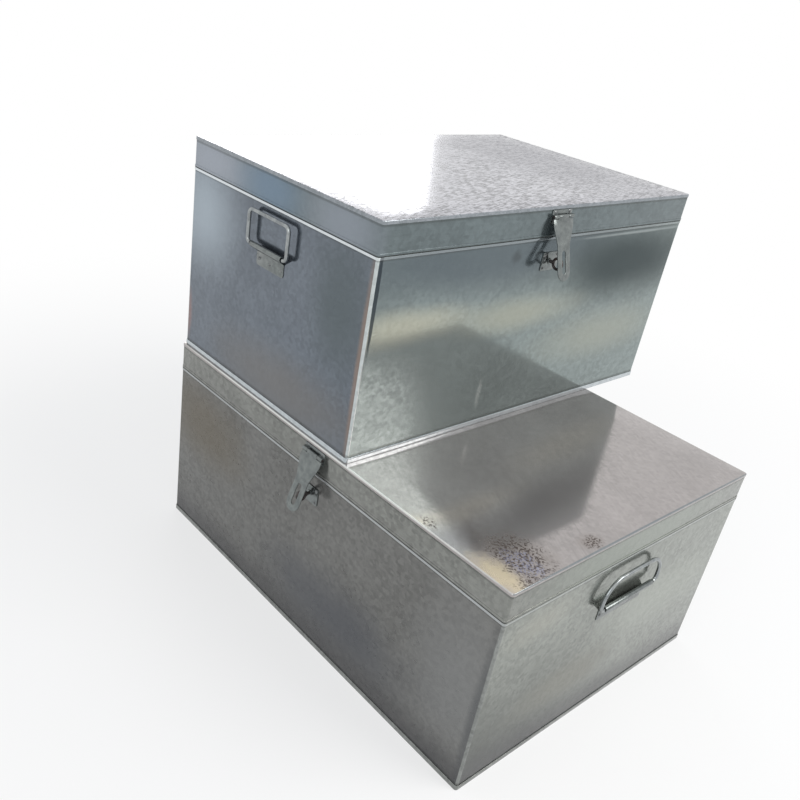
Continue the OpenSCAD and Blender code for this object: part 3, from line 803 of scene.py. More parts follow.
def upper_sheets() -> tuple[SheetFinish, ...]:
    """The upper trunk's sheets."""
    front = partial(wash, Wall.FRONT, -0.26)
    end = partial(wash, Wall.LEFT, -0.42)
    rim = partial(end, deep=0.03)
    return (
        SheetFinish("hasp wall", (0.23, 0.27, 0.265), 0.13, 0.16, spots=(
            # Painted reflection: a dark blue band across the top, and a dark patch at the top
            # right
            front(-0.15, 0.345, 0.60, 0.115, (0.10, 0.125, 0.142), 0.85, 0.0, 0.25, 5.0, 0.75),
            front(0.27, 0.285, 0.34, 0.115, (0.035, 0.052, 0.055), 0.97, 0.0, 0.3, 6.0, 0.85),
            # Painted reflection: a pale beige streak across the wall, in three spots
            front(-0.33, 0.232, 0.22, 0.044, (0.46, 0.46, 0.37), 0.8, 0.0, 0.35),
            front(-0.06, 0.215, 0.26, 0.048, (0.38, 0.39, 0.32), 0.7, 0.0, 0.35),
            front(0.24, 0.135, 0.30, 0.075, (0.34, 0.36, 0.31), 0.7, 0.0, 0.35),
            front(-0.0955, 0.326, 0.018, 0.016, (0.06, 0.07, 0.075), 0.6, 0.08, 0.9, 90.0, 0.8),
            front(-0.113, 0.066, 0.008, 0.040, (0.60, 0.64, 0.62), 0.55, 0.0, 1.6, 150.0, 0.5,
                  0.7, 300.0),
            # Painted shade: a narrow dark strip beside the left-hand corner fold
            front(-0.4115, 0.290, 0.0048, 0.115, (0.02, 0.03, 0.04), 0.85, 0.05, 0.5, 60.0,
                  0.35),
            # Painted reflection: a faint light arc below the joint at the right
            front(0.27, 0.343, 0.26, 0.004, (0.42, 0.46, 0.46), 0.5, 0.0, 0.6, 14.0, 0.8),
        ), bands=hem_bands(UPPER, 0.22)),
        # Painted shade: the end walls' tone set dark and blue, for the end that faces away from
        # the key lamp
        SheetFinish("end wall", (0.150, 0.172, 0.200), 0.15, 0.16, spots=(
            # Painted reflection: a bright bluish patch beside the handle
            end(0.215, 0.285, 0.15, 0.16, (0.38, 0.44, 0.49), 0.85, 0.0, 0.4, 7.0, 0.95),
            end(-0.19, 0.25, 0.11, 0.16, (0.095, 0.118, 0.126), 0.75),
            end(-0.05, 0.05, 0.30, 0.10, (0.185, 0.178, 0.170), 0.7),
            end(-0.255, 0.17, 0.012, 0.26, (0.30, 0.21, 0.16), 0.6, 0.0, 0.3, 20.0, 0.7),
            end(0.255, 0.07, 0.016, 0.07, (0.36, 0.20, 0.17), 0.5, 0.0, 0.4, 20.0, 0.8),
        ), bands=hem_bands(UPPER, 0.95)),
        SheetFinish("plain wall", (0.22, 0.25, 0.25), 0.17, bands=hem_bands(UPPER)),
        SheetFinish("lid rim", (0.145, 0.175, 0.182), 0.15, 0.16, spots=(
            rim(0.20, 0.38, 0.20, 0.08, (0.33, 0.36, 0.41), 0.9, 0.0, 0.3),
            rim(0.02, 0.38, 0.14, 0.08, (0.17, 0.24, 0.32), 0.8, 0.0, 0.3),
            rim(-0.17, 0.38, 0.14, 0.08, (0.27, 0.30, 0.34), 0.8, 0.0, 0.3),
        ), bands=hem_bands(UPPER, 0.3)),
        SheetFinish("lid top", (0.37, 0.37, 0.40), 0.16, 0.5, crystals=0.9, streaks=4.5,
                    clouds=0.7, scratches=0.6, brushing=0.03, grain=(45.0, 330.0, 330.0),
                    grain_turn=-0.28, spots=(
            # Painted shade: the lid top darker over its right part
            Spot((0.36, 0.05, 0.41), (0.40, 0.5, 0.05), (0.155, 0.155, 0.185), 0.75, 0.05, 0.4,
                 8.0),
            # Painted shade: a thin dark line along the far edge
            Spot((0.0, 0.2605, 0.4095), (0.60, 0.0042, 0.0042), (0.03, 0.032, 0.036), 0.97, 0.0,
                 0.2, 20.0, 0.35),
        # Painted shade: the band below darkens the side of the top sheet's fold
        ), bands=(Band(0.4066, 0.0026, 0.0006, (0.25, 0.28, 0.30), 0.85, 0.0, 0.1),)),
        # Painted highlight: the corner folds set bright, to show as light lines
        SheetFinish("seam", (0.52, 0.56, 0.56), 0.12, 0.1, bands=hem_bands(UPPER, 0.5)),
        # Painted highlight: the base set bright, to show as a light line along its bead
        SheetFinish("base", (0.50, 0.54, 0.56), 0.14, 0.1),
        SheetFinish("inside", (0.25, 0.28, 0.27), 0.3),
    )


def all_coats() -> dict[str, Coat]:
    """Every finish of the stack by its name, with the trunk's name first for a sheet."""
    effects = Effects()
    coats = {f"{trunk.name} {sheet.name}": sheet.coat(effects, trunk)
             for trunk, sheets in ((LOWER, lower_sheets()), (UPPER, upper_sheets()))
             for sheet in sheets}
    return coats | {finish.name: finish.coat(effects) for finish in FITTINGS}


# The trunk's own parts


@dataclass
class Maker:
    """Makes one group of a trunk's pieces."""

    trunk: TrunkSizes
    coats: dict[str, Coat]

    def seat(self, piece: Piece, name: str, body: str, coat: Coat, *nodes: str,
             angle: float = 35) -> None:
        """Sets a finished piece in its place in the stack.

        Args:
            piece: the piece, in its trunk's own millimetres.
            name: the piece's name, without the trunk's name.
            body: the CAD body it rides on, without the trunk's name.
            coat: its finish.
            nodes: the CAD nodes it stands for, without the trunk's name.
            angle: edges sharper than this many degrees stay sharp.
        """
        trunk, slot = self.trunk, coat.slot
        Bench.true_up(piece)
        Bench.turned(piece, trunk.place)
        bpy.ops.object.shade_smooth_by_angle(angle=math.radians(angle))
        piece.name = piece.data.name = trunk.body(name)
        piece.data.materials.clear()
        piece.data.materials.append(coat.material)
        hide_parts(*(trunk.body(node) for node in nodes))
        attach(piece, trunk.body(body))
        log.info("%s: %d faces, on %s", piece.name, len(piece.data.polygons), trunk.body(body))

    def sheet(self, name: str) -> Coat:
        """The finish of one of the trunk's sheets."""
        return self.coats[f"{self.trunk.name} {name}"]


def proud(point: Vector, x: float, y: float) -> bool:
    """Whether a point stands outside a rounded outline with these half sizes."""
    dx, dy = abs(point.x) - (x - CORNER), abs(point.y) - (y - CORNER)
    out = math.hypot(dx, dy) if dx > 0 and dy > 0 else max(dx, dy)
    return out > CORNER + NEAR


@dataclass
class TrunkBody(Maker):
    """The open box: four walls, folded corners, a folded base and the inner neck."""

    base_hem: float = 1.2
    base_height: float = 10.0
    rest_gap: float = 0.03
    lap_width: float = 16.0
    neck_height: float = 18.0
    neck_low: float = 20.0
    neck_gap: float = 0.8

    def build(self) -> None:
        """Makes every piece of the body."""
        for wall in Wall:
            self.wall(wall)
        self.corners()
        self.base()
        self.neck()

    def wall(self, wall: Wall) -> None:
        """One wall, with a rounded hem bead along its top edge."""
        t = self.trunk
        half, top = t.run(wall) / 2 - CORNER, t.joint
        piece = Bench.slab((-half, 0, SHEET), (half, SHEET, top))
        with Edit(piece) as edit:
            edit.cut(2, top - HEM_HEIGHT)
            edit.faces(lambda c, n: n.y < -FACING and c.z > top - HEM_HEIGHT)
            edit.pull((0, -HEM, 0))
            edit.ease(along(0, lambda end: end.y < -HEM / 2), HEM * 0.9, 4)
            edit.cut(0, *(half * i / 6 for i in range(-5, 6)))
            edit.cut(2, *(top * i / 5 for i in range(1, 5)))
        Bench.turned(piece, t.on(wall))
        side = wall.name.lower()
        finish = {Wall.FRONT: "hasp wall", Wall.BACK: "plain wall"}.get(wall, "end wall")
        self.seat(piece, f"{side}_wall", "carcass", self.sheet(finish), f"{side}_panel")

    @staticmethod
    def quarter(radius: float, wall: float, low: float, high: float) -> Piece:
        """A quarter of a round corner, wound from an upright strip of sheet."""
        piece = Bench.slab((-radius, -0.02, low), (wall - radius, 0, high))
        with Edit(piece) as edit:
            edit.faces(lambda c, n: n.y < -FACING)
            edit.wind(90, (0, 0, 0), (0, 0, 1), 8)
        return Bench.true_up(piece)

    def corners(self) -> None:
        """The four folded corners, each with lap strips behind both walls."""
        t, low = self.trunk, self.trunk.joint - self.neck_low
        folds = [self.quarter(CORNER, 2 * SHEET, SHEET, low),
                 self.quarter(CORNER, SHEET, low, t.joint)]
        bead = self.quarter(CORNER + HEM, HEM + SHEET, t.joint - HEM_HEIGHT, t.joint)
        with Edit(bead) as edit:
            edit.ease(lambda a, b: level(a, b) and min(a.xy.length, b.xy.length) > CORNER + NEAR
                      and not along(0)(a, b) and not along(1)(a, b), HEM * 0.85, 4)
        inner = SHEET - CORNER
        laps = [Bench.slab((-0.1, inner, SHEET), (self.lap_width, inner + SHEET, low)),
                Bench.slab((inner, -0.1, SHEET), (inner + SHEET, self.lap_width, low))]
        for lap in laps:
            Bench.soften(lap, 0.3)
        piece = Bench.join([*folds, bead, *laps])
        x, y = t.length / 2 - CORNER, t.depth / 2 - CORNER
        places = [Matrix.Translation((sx * x, sy * y, 0))
                  @ Matrix.Rotation(math.radians(90 * turns), 4, "Z")
                  for turns, (sx, sy) in enumerate(((-1, -1), (1, -1), (1, 1), (-1, 1)))]
        self.seat(Bench.copies(piece, places), "corner_folds", "carcass", self.sheet("seam"),
                  "corner_seams")

    def base(self) -> None:
        """The bottom, a shallow pan folded up outside the walls with a rounded bead."""
        t, hem, high = self.trunk, self.base_hem, self.base_height
        x, y = t.length / 2 + hem, t.depth / 2 + hem
        piece = Bench.slab((-x, -y, self.rest_gap), (x, y, high))
        with Edit(piece) as edit:
            edit.ease(along(2), CORNER + hem, 7)
            edit.faces(lambda c, n: n.z > FACING)
            bpy.ops.mesh.inset(thickness=hem)
            edit.pull((0, 0, SHEET - high))
            edit.ease(lambda a, b: level(a, b) and a.z > high - NEAR, hem * 0.42, 3)
            edit.ease(lambda a, b: max(a.z, b.z) < self.rest_gap + FINE, hem * 0.8, 4)
        self.seat(piece, "base_tray", "carcass", self.sheet("base"), "base_pan")

    def neck(self) -> None:
        """The band inside the mouth that the lid fits over, with a rolled top edge."""
        t, joint, top = self.trunk, self.trunk.joint, self.trunk.joint + self.neck_height
        inset = SHEET + self.neck_gap
        x, y = t.length / 2 - inset, t.depth / 2 - inset
        piece = Bench.slab((-x, -y, joint - self.neck_low), (x, y, top))
        with Edit(piece) as edit:
            edit.ease(along(2), CORNER - inset, 5)
            edit.open(lambda c, n: abs(n.z) > FACING)
        Bench.modify(piece, "SOLIDIFY", thickness=SHEET, offset=-1, use_even_offset=True)
        with Edit(piece) as edit:
            edit.cut(2, joint - 0.4)
            edit.faces(lambda c, n: abs(n.z) < 1 - FACING and c.z < joint - 1
                       and (abs(c.x) > x - 0.9 or abs(c.y) > y - 0.9) and n.xy.dot(c.xy) > 0)
            edit.swell(self.neck_gap)
            edit.ease(lambda a, b: level(a, b) and a.z > top - NEAR and not self._crosses(a, b),
                      SHEET * 0.42, 3)
        self.seat(piece, "neck", "carcass", self.sheet("inside"), "neck_band")

    @staticmethod
    def _crosses(a: Vector, b: Vector) -> bool:
        """Whether an edge runs across the neck's rim rather than along it."""
        out, run = (a + b).xy / 2, (b - a).xy
        if run.length < 1e-6 or out.length < 1e-6:
            return True
        longest, off_corner = 1.6, 30
        return run.length < longest and abs(abs(out.x) - abs(out.y)) > off_corner


@dataclass
class TrunkLid(Maker):
    """The lid: an upright rim with a hem bead, under a top sheet folded over it."""

    fold_height: float = 6.0
    fold_round: float = 1.6

    def build(self) -> None:
        """Makes both pieces of the lid."""
        self.rim()
        self.top()

    def rim(self) -> None:
        """The upright rim, with the bead along its lower edge."""
        t = self.trunk
        low = t.joint + t.joint_gap
        x, y, bead = t.length / 2, t.depth / 2, low + HEM_HEIGHT
        piece = Bench.slab((-x, -y, low), (x, y, t.height - SHEET))
        with Edit(piece) as edit:
            edit.ease(along(2), CORNER, 7)
            edit.open(lambda c, n: abs(n.z) > FACING)
            edit.cut(2, bead)
        Bench.modify(piece, "SOLIDIFY", thickness=SHEET, offset=-1, use_even_offset=True)
        with Edit(piece) as edit:
            edit.faces(lambda c, n: abs(n.z) < 1 - FACING and c.z < bead
                       and n.xy.dot(c.xy) > 0 and proud(c, x - HEM, y - HEM))
            edit.swell(HEM)
            edit.ease(lambda a, b: level(a, b) and a.z < bead + NEAR
                      and proud(a, x, y) and proud(b, x, y), HEM * 0.9, 4)
        self.seat(piece, "lid_rim", "lid", self.sheet("lid rim"), "lid_skirt")

    def top(self) -> None:
        """The top sheet, with a rounded fold all round and its flange outside the rim."""
        t = self.trunk
        x, y = t.length / 2 + HEM, t.depth / 2 + HEM
        piece = Bench.slab((-x, -y, t.height - self.fold_height), (x, y, t.height))
        with Edit(piece) as edit:
            edit.ease(along(2), CORNER + HEM, 7)
            edit.ease(lambda a, b: min(a.z, b.z) > t.height - FINE, self.fold_round, 5)
            edit.open(lambda c, n: n.z < -FACING)
        Bench.modify(piece, "SOLIDIFY", thickness=HEM, offset=-1, use_even_offset=True)
        with Edit(piece) as edit:
            edit.cut(0, *(x * i / 6 for i in range(-5, 6)))
            edit.cut(1, *(y * i / 5 for i in range(-4, 5)))
        self.seat(piece, "lid_sheet", "lid", self.sheet("lid top"), "lid_top")


# Fittings


@dataclass
class Rivets(Maker):
    """The round-headed rivets of every fitting."""

    shank: float = 1.6
    dome: float = 1.4
    tail: float = 0.9
    tail_less: float = 0.6

    def one(self, place: Matrix, out: float) -> Piece:
        """A rivet through a plate: its head stands out along -Y, and its tail is clenched."""
        ball = (RIVET_HEAD ** 2 + self.dome ** 2) / (2 * self.dome)
        depth = out + SHEET + self.tail
        Bench.clear()
        bpy.ops.mesh.primitive_uv_sphere_add(
            segments=20, ring_count=24, radius=ball, location=(0, ball - self.dome, 0),
            rotation=(math.pi / 2, 0, 0))
        head = Bench.settle()
        with Edit(head):
            bpy.ops.mesh.bisect(plane_co=(0, 0, 0), plane_no=(0, 1, 0), use_fill=True,
                                clear_outer=True)
        Bench.true_up(head)
        shank = Bench.rod(self.shank, (0, 0, 0), (0, depth, 0), 16)
        tail = Bench.rod(RIVET_HEAD - self.tail_less, (0, depth - self.tail, 0), (0, depth, 0),
                         20)
        Bench.soften(tail, 0.35)
        return Bench.turned(Bench.join([head, shank, tail]),
                            place @ Matrix.Translation((0, -out, 0)))

    def group(self, name: str, body: str, node: str, stations: Sequence[Station]) -> None:
        """Rivets at several places.

        Args:
            name: the joined piece's name.
            body: the CAD body they ride on.
            node: the CAD node they stand for.
            stations: for each, its place in the trunk's frame and how far its plate stands out.
        """
        made = [self.one(place, out) for place, out in stations]
        self.seat(Bench.join(made), name, body, self.coats["rivet zinc"], node)


def headed_pin(radius: float, barrel: float, width: float) -> Piece:
    """A pin along X with a rounded head outside each end of its barrel."""
    head, half = (barrel + radius) / 2, width / 2
    made = [Bench.rod(radius, (-half - 0.5, 0, 0), (half + 0.5, 0, 0), 24)]
    for s in (-1, 1):
        end = Bench.rod(head, (s * half, 0, 0), (s * (half + 1), 0, 0), 24)
        with Edit(end) as edit:
            edit.faces(lambda c, n: n.x * s > FACING)
            bpy.ops.mesh.inset(thickness=head * 0.45)
        made.append(Bench.soften(end, 0.4, 3))
    return Bench.join(made)


@dataclass
class Hinges(Maker):
    """The leaf hinges on the back wall, each leaf curled round its pin."""

    width: float = 64.0
    leaf: float = 36.0
    thick: float = 1.2
    barrel: float = 4.0
    pin: float = 1.8
    inset: float = 120.0
    off: float = 5.0

    @property
    def axis_height(self) -> float:
        """Height of the hinge axis, in the middle of the joint gap."""
        return self.trunk.joint + self.trunk.joint_gap / 2

    @property
    def knuckle(self) -> float:
        """Length of one knuckle."""
        return (self.width - 2 * END_PLAY) / 3

    def places(self, *shifts: Point) -> list[Matrix]:
        """Places at each hinge, from the wall's face at the hinge axis."""
        count = self.trunk.hinges
        return [self.trunk.on(Wall.BACK, (i / (count - 1) - 0.5)
                              * (self.trunk.length - 2 * self.inset) + x, y,
                              self.axis_height + z)
                for i in range(count) for x, y, z in shifts]

    def rivets(self, sign: int) -> list[Station]:
        """Places of the rivets in the body's leaves (-1) or the lid's (1)."""
        x, z = self.width / 3, sign * (self.leaf - RIVET_HEAD - 4)
        return [(place, self.off - HEM - self.thick - 1)
                for place in self.places((-x, 0, z), (x, 0, z))]

    def leaves(self, tabs: Callable[[float], bool]) -> Piece:
        """A leaf that hangs below the hinge axis, with its tabs curled round the pin.

        Args:
            tabs: whether the leaf has a knuckle at this place along the axis.

        Returns:
            The leaf, about the hinge axis.
        """
        face, half = self.off - HEM, self.width / 2
        bore = self.pin + RUN_FIT
        top = -(self.barrel + HAIR)
        split = self.knuckle / 2 + (END_PLAY if tabs(half) else 0)
        piece = Bench.slab((-half, face - self.thick, -self.leaf), (half, face, top))
        with Edit(piece) as edit:
            edit.ease(along(1, lambda end: end.z < NEAR - self.leaf), 4.0, 5)
            edit.cut(0, -split, split)
            edit.faces(lambda c, n: n.z > FACING and tabs(c.x))
            edit.pull((0, 0, -top))
            edit.pick(Part.VERTS, lambda p: p.z > -FINE)
            bpy.ops.transform.resize(value=(1, (self.barrel - bore) / self.thick, 1),
                                     center_override=(0, face, 0))
            bpy.ops.transform.translate(value=(0, self.barrel - face, 0))
            edit.faces(lambda c, n: n.z > FACING and c.z > -FINE)
            edit.wind(300, (0, 0, 0), (1, 0, 0), 16)
        return Bench.soften(Bench.true_up(piece), 0.22)

    def build(self) -> None:
        """Makes the leaves and pins."""
        zinc, places = self.coats["zinc fitting"], self.places((0, -self.off, 0))
        low = Bench.copies(self.leaves(lambda x: abs(x) > self.knuckle / 2), places)
        self.seat(low, "hinge_leaves_low", "carcass", zinc, "hinge_body_leaves")
        over = Matrix.Rotation(math.pi, 4, "Y")
        high = Bench.copies(self.leaves(lambda x: abs(x) < self.knuckle / 2),
                            [place @ over for place in places])
        self.seat(high, "hinge_leaves_high", "lid", zinc, "hinge_lid_leaves")
        pins = Bench.copies(headed_pin(self.pin, self.barrel, self.width), places)
        self.seat(pins, "hinge_rods", "carcass", self.coats["dark iron"], "hinge_pins")


@dataclass
class Hasp(Maker):
    """The hasp: its leaf on the rim, the swinging strap, and the turn eye on its plate."""

    drop: float = 18.0
    off: float = 5.5
    width: float = 54.0
    tip: float = 34.0
    length: float = 112.0
    thick: float = 1.6
    barrel: float = 3.6
    pin: float = 1.6
    slot: float = 10.5
    slot_up: float = 23.0
    slot_down: float = 18.0
    eye_drop: float = 82.0
    wire: float = 2.5
    ring: float = 9.5
    shank: float = 3.0
    plate_width: float = 46.0
    plate_height: float = 34.0

    @property
    def pivot(self) -> float:
        """Height of the strap's pivot."""
        return self.trunk.height - self.drop

    @property
    def eye(self) -> float:
        """Height of the turn eye."""
        return self.pivot - self.eye_drop

    @property
    def knuckle(self) -> float:
        """Length of each of the leaf's two knuckles."""
        return (self.width - 2 * END_PLAY) / 4

    @property
    def eye_out(self) -> float:
        """How far the middle of the eye's ring stands off the wall."""
        return self.off + self.thick / 2 + HAIR + self.wire + self.ring

    @property
    def tilt(self) -> float:
        """How far the strap hangs out at rest, in radians, just clear of the eye."""
        reach = self.eye_out - self.off
        clear = self.ring + self.wire + self.thick / 2 + HAIR
        return (math.atan(reach / self.eye_drop)
                + math.asin(clear / math.hypot(reach, self.eye_drop)))

    def four(self, x: float, height: float, z: float) -> list[Station]:
        """Places of four rivets, this far to each side of a height on the front wall."""
        return [(self.trunk.on(Wall.FRONT, sx * x, 0, height + sz * z), self.thick)
                for sx in (-1, 1) for sz in (-1, 1)]

    def leaf_rivets(self) -> list[Station]:
        """Places of the rivets in the leaf on the rim."""
        return self.four(self.width / 2 - RIVET_HEAD - 4, self.pivot,
                         self.barrel + RIVET_HEAD + 0.5)

    def plate_rivets(self) -> list[Station]:
        """Places of the rivets in the eye's plate."""
        inset = RIVET_HEAD + 2.5
        return self.four(self.plate_width / 2 - inset, self.eye, self.plate_height / 2 - inset)

    def build(self) -> None:
        """Makes every piece of the hasp."""
        self.leaf()
        rod = headed_pin(self.pin, self.barrel, self.width)
        Bench.turned(rod, self.trunk.on(Wall.FRONT, 0, -self.off, self.pivot))
        self.seat(rod, "hasp_rod", "lid", self.coats["dark iron"], "hasp_pin")
        self.strap()
        self.plate()
        self.turn_eye()

    def leaf(self) -> None:
        """The fixed leaf, with two tabs curled round the pin."""
        rivets = self.barrel + 2 * RIVET_HEAD + 0.5
        half, z, tab = self.width / 2, self.pivot, self.width / 2 - self.knuckle
        inner, outer = z + self.barrel - self.thick, z + self.barrel
        piece = Bench.slab((-half, -self.thick, z - rivets - 3), (half, 0, z + rivets + 0.7))
        with Edit(piece) as edit:
            edit.ease(along(1), 2.5, 4)
            edit.cut(2, inner, outer)
            edit.cut(0, -tab, tab)
            edit.faces(lambda c, n: n.y < -FACING and inner < c.z < outer and abs(c.x) > tab)
            edit.pull((0, self.thick - self.off, 0))
            edit.wind(290, (0, -self.off, z), (1, 0, 0), 14)
        Bench.soften(Bench.true_up(piece), 0.25)
        Bench.turned(piece, self.trunk.on(Wall.FRONT))
        self.seat(piece, "hasp_plate", "lid", self.coats["zinc plate"], "hasp_leaf")

    def strap(self) -> None:
        """The swinging strap: tapered, slotted, cranked into its knuckle, with a round tip."""
        half, thin = self.width / 2, self.thick / 2
        middle = half - self.knuckle - END_PLAY
        shoulder = self.barrel + HAIR + 0.3
        waist = self.eye_drop / 2 + 8
        piece = Bench.slab((-half, -thin, -self.length), (half, thin, -shoulder))
        with Edit(piece) as edit:
            edit.cut(2, -shoulder - 12, -waist)
            edit.pick(Part.VERTS, lambda p: p.z < NEAR - waist)
            bpy.ops.transform.resize(value=(self.tip / self.width, 1, 1),
                                     center_override=(0, 0, 0))
            edit.ease(along(1, lambda end: end.z < NEAR - self.length), self.tip / 2 - 0.2, 10)
            edit.cut(0, -middle, middle)
            edit.faces(lambda c, n: n.z > FACING and abs(c.x) < middle)
            edit.pull((0, thin - self.barrel, shoulder))
            edit.wind(-300, (0, 0, 0), (1, 0, 0), 16)
        Bench.true_up(piece)
        cutter = Bench.slab((-self.slot / 2, -5, -self.eye_drop - self.slot_down),
                            (self.slot / 2, 5, self.slot_up - self.eye_drop))
        with Edit(cutter) as edit:
            edit.ease(along(1), self.slot / 2 - 0.05, 8)
        Bench.carve(piece, cutter)
        Bench.soften(piece, 0.3)
        Bench.turned(piece, self.trunk.on(Wall.FRONT, 0, -self.off, self.pivot)
                     @ Matrix.Rotation(-self.tilt, 4, "X"))
        self.seat(piece, "hasp_tongue", "hasp", self.coats["zinc plate"], "hasp_strap")

    def plate(self) -> None:
        """The eye's plate, with a raised boss round the shank."""
        x, z = self.plate_width / 2, self.plate_height / 2
        piece = Bench.slab((-x, -self.thick, self.eye - z), (x, 0, self.eye + z))
        with Edit(piece) as edit:
            edit.ease(along(1), RIVET_HEAD, 5)
        Bench.soften(piece, 0.3)
        boss = Bench.rod(self.shank + 3, (0, -self.thick + 0.3, self.eye),
                         (0, -self.thick - 1.5, self.eye))
        self.dish(boss, 1.6, 0.5)
        Bench.soften(boss, 0.4, 3)
        piece = Bench.turned(Bench.join([piece, boss]), self.trunk.on(Wall.FRONT))
        self.seat(piece, "eye_backing", "carcass", self.coats["zinc plate"], "eye_plate")

    @staticmethod
    def dish(piece: Piece, inset: float, move: float) -> None:
        """Sinks or raises the middle of a rod's end that faces -Y."""
        with Edit(piece) as edit:
            edit.faces(lambda c, n: n.y < -FACING)
            bpy.ops.mesh.inset(thickness=inset)
            bpy.ops.transform.translate(value=(0, move, 0))

    def turn_eye(self) -> None:
        """The forged eye: a ring on a shank that is headed inside the wall."""
        Bench.clear()
        bpy.ops.mesh.primitive_torus_add(
            major_radius=self.ring, minor_radius=self.wire, major_segments=48,
            minor_segments=20, location=(0, -self.eye_out, self.eye),
            rotation=(0, math.pi / 2, 0))
        ring = Bench.settle()
        inside = SHEET + END_PLAY
        near = self.ring - self.eye_out - self.wire / 2
        shank, collar, head = (
            Bench.rod(self.shank + more, (0, start, self.eye), (0, end, self.eye))
            for more, start, end in ((0, near, inside + 0.2), (1.1, near + 1.2, near + 2.6),
                                     (3, inside, inside + 1.5)))
        self.dish(shank, 0.7, -0.8)
        for piece in (collar, head):
            Bench.soften(piece, 0.5, 3)
        piece = Bench.turned(Bench.join([ring, shank, collar, head]), self.trunk.on(Wall.FRONT))
        self.seat(piece, "eye_ring", "eye", self.coats["dark iron"], "turn_eye", angle=60)


@dataclass
class Handles(Maker):
    """The drop handles on both end walls, each held by a sheet plate curled round its bar."""

    rod: float = 3.5
    off: float = 11.0
    foot: float = 9.0
    plate: float = 36.0
    thick: float = 1.2
    rise: float = 12.4

    @property
    def pivot(self) -> float:
        """Height of the pivot bar."""
        return self.trunk.joint - self.trunk.handle_drop

    @property
    def plate_width(self) -> float:
        """Width of the plate on the wall."""
        return self.trunk.handle_width - 2 * self.rod - 2 * self.foot - 10

    def rivets(self) -> list[Station]:
        """Places of the rivets in both plates."""
        x = self.plate_width / 2 - RIVET_HEAD - 3
        z = self.pivot - (self.plate + self.rise) / 2
        return [(self.trunk.on(wall, s * x, 0, z), self.thick)
                for wall in (Wall.RIGHT, Wall.LEFT) for s in (-1, 0, 1)]

    def build(self) -> None:
        """Makes the handle and plate of both ends."""
        for wall in (Wall.LEFT, Wall.RIGHT):
            place = self.trunk.on(wall, 0, -self.off, self.pivot)
            self.bail(wall.name.lower(), place)
            self.holder(wall.name.lower(), place)

    def bail(self, side: str, place: Matrix) -> None:
        """The closed ring of round rod, half of it bent along its path and then mirrored."""
        t, foot = self.trunk, self.foot
        half, high, bend = t.handle_width / 2, t.handle_height, t.handle_bend
        Bench.clear()
        bpy.ops.mesh.primitive_circle_add(vertices=20, radius=self.rod,
                                          rotation=(0, math.pi / 2, 0))
        piece = Bench.settle()
        with Edit(piece) as edit:
            edit.pull((half - foot, 0, 0))
            edit.wind(90, (half - foot, 0, foot), (0, -1, 0), 8)
            edit.pull((0, 0, high - bend - foot))
            edit.wind(90, (half - bend, 0, high - bend), (0, -1, 0), 14)
            edit.pull((bend - half, 0, 0))
        Bench.modify(piece, "MIRROR", use_axis=(True, False, False), use_mirror_merge=True,
                     merge_threshold=0.01)
        self.seat(Bench.turned(piece, place), f"{side}_bail", f"{side}_bail",
                  self.coats["zinc rod"], f"{side}_handle", angle=60)

    def holder(self, side: str, place: Matrix) -> None:
        """The plate: flat on the wall, leaning out under the bar and curled round it."""
        half, lean = self.plate_width / 2, math.radians(35)
        wide = self.trunk.handle_width - 2 * self.foot - 4 - 2 * self.thick
        inner, outer = self.rod + RUN_FIT, self.rod + RUN_FIT + self.thick
        piece = Bench.slab((-half, self.off - self.thick, -self.plate),
                           (half, self.off, -self.rise))
        down = Vector((0, -math.sin(lean), -math.cos(lean)))
        with Edit(piece) as edit:
            edit.ease(along(1, lambda end: end.z < NEAR - self.plate), 5.0, 5)
            edit.faces(lambda c, n: n.z > FACING)
            edit.pull((0, 0, FINE))
            bpy.ops.mesh.select_mode(type=Part.VERTS.value)
            mesh = bmesh.from_edit_mesh(piece.data)
            for vertex in mesh.verts:
                if vertex.select:
                    reach = outer if vertex.co.y < self.off - self.thick / 2 else inner
                    x = math.copysign(wide / 2, vertex.co.x)
                    vertex.co = Vector((x, 0, 0)) + down * reach
            bmesh.update_edit_mesh(piece.data)
            bpy.ops.mesh.select_mode(type=Part.FACES.value)
            edit.wind(-262, (0, 0, 0), (1, 0, 0), 18)
        Bench.soften(Bench.true_up(piece), 0.25)
        self.seat(Bench.turned(piece, place), f"{side}_bail_plate", "carcass",
                  self.coats["zinc plate"], f"{side}_handle_plate")


# Studio


@dataclass(frozen=True)
class Lamp:
    """A large soft lamp that the camera doesn't see."""

    name: str
    place: Point
    aim: Point
    size: tuple[float, float]
    power: float
    colour: Colour

    def build(self) -> None:
        """Hangs the lamp."""
        data = bpy.data.lights.new(self.name, "AREA")
        data.shape = "RECTANGLE"
        data.size, data.size_y = self.size
        data.energy, data.color = self.power, self.colour
        lamp = bpy.data.objects.new(self.name, data)
        bpy.context.scene.collection.objects.link(lamp)
        turn = (Vector(self.aim) - Vector(self.place)).to_track_quat("-Z", "Y")
        lamp.matrix_world = Matrix.Translation(self.place) @ turn.to_matrix().to_4x4()
        lamp.visible_camera = False


MIDDLE: Point = (-0.05, 0.05, 0.4)
LAMPS = (
    Lamp("key", (2.6, 1.3, 3.0), MIDDLE, (2.4, 2.4), 95.0, (1.0, 0.98, 0.95)),
    Lamp("front fill", (1.6, -3.2, 2.2), MIDDLE, (2.2, 2.2), 26.0, (0.95, 0.98, 1.0)),
    Lamp("lid glow", (-2.93, 1.64, 1.50), (-0.08, 0.39, 0.82), (1.85, 1.0), 16.0,
         (1.0, 1.0, 1.0)),
)


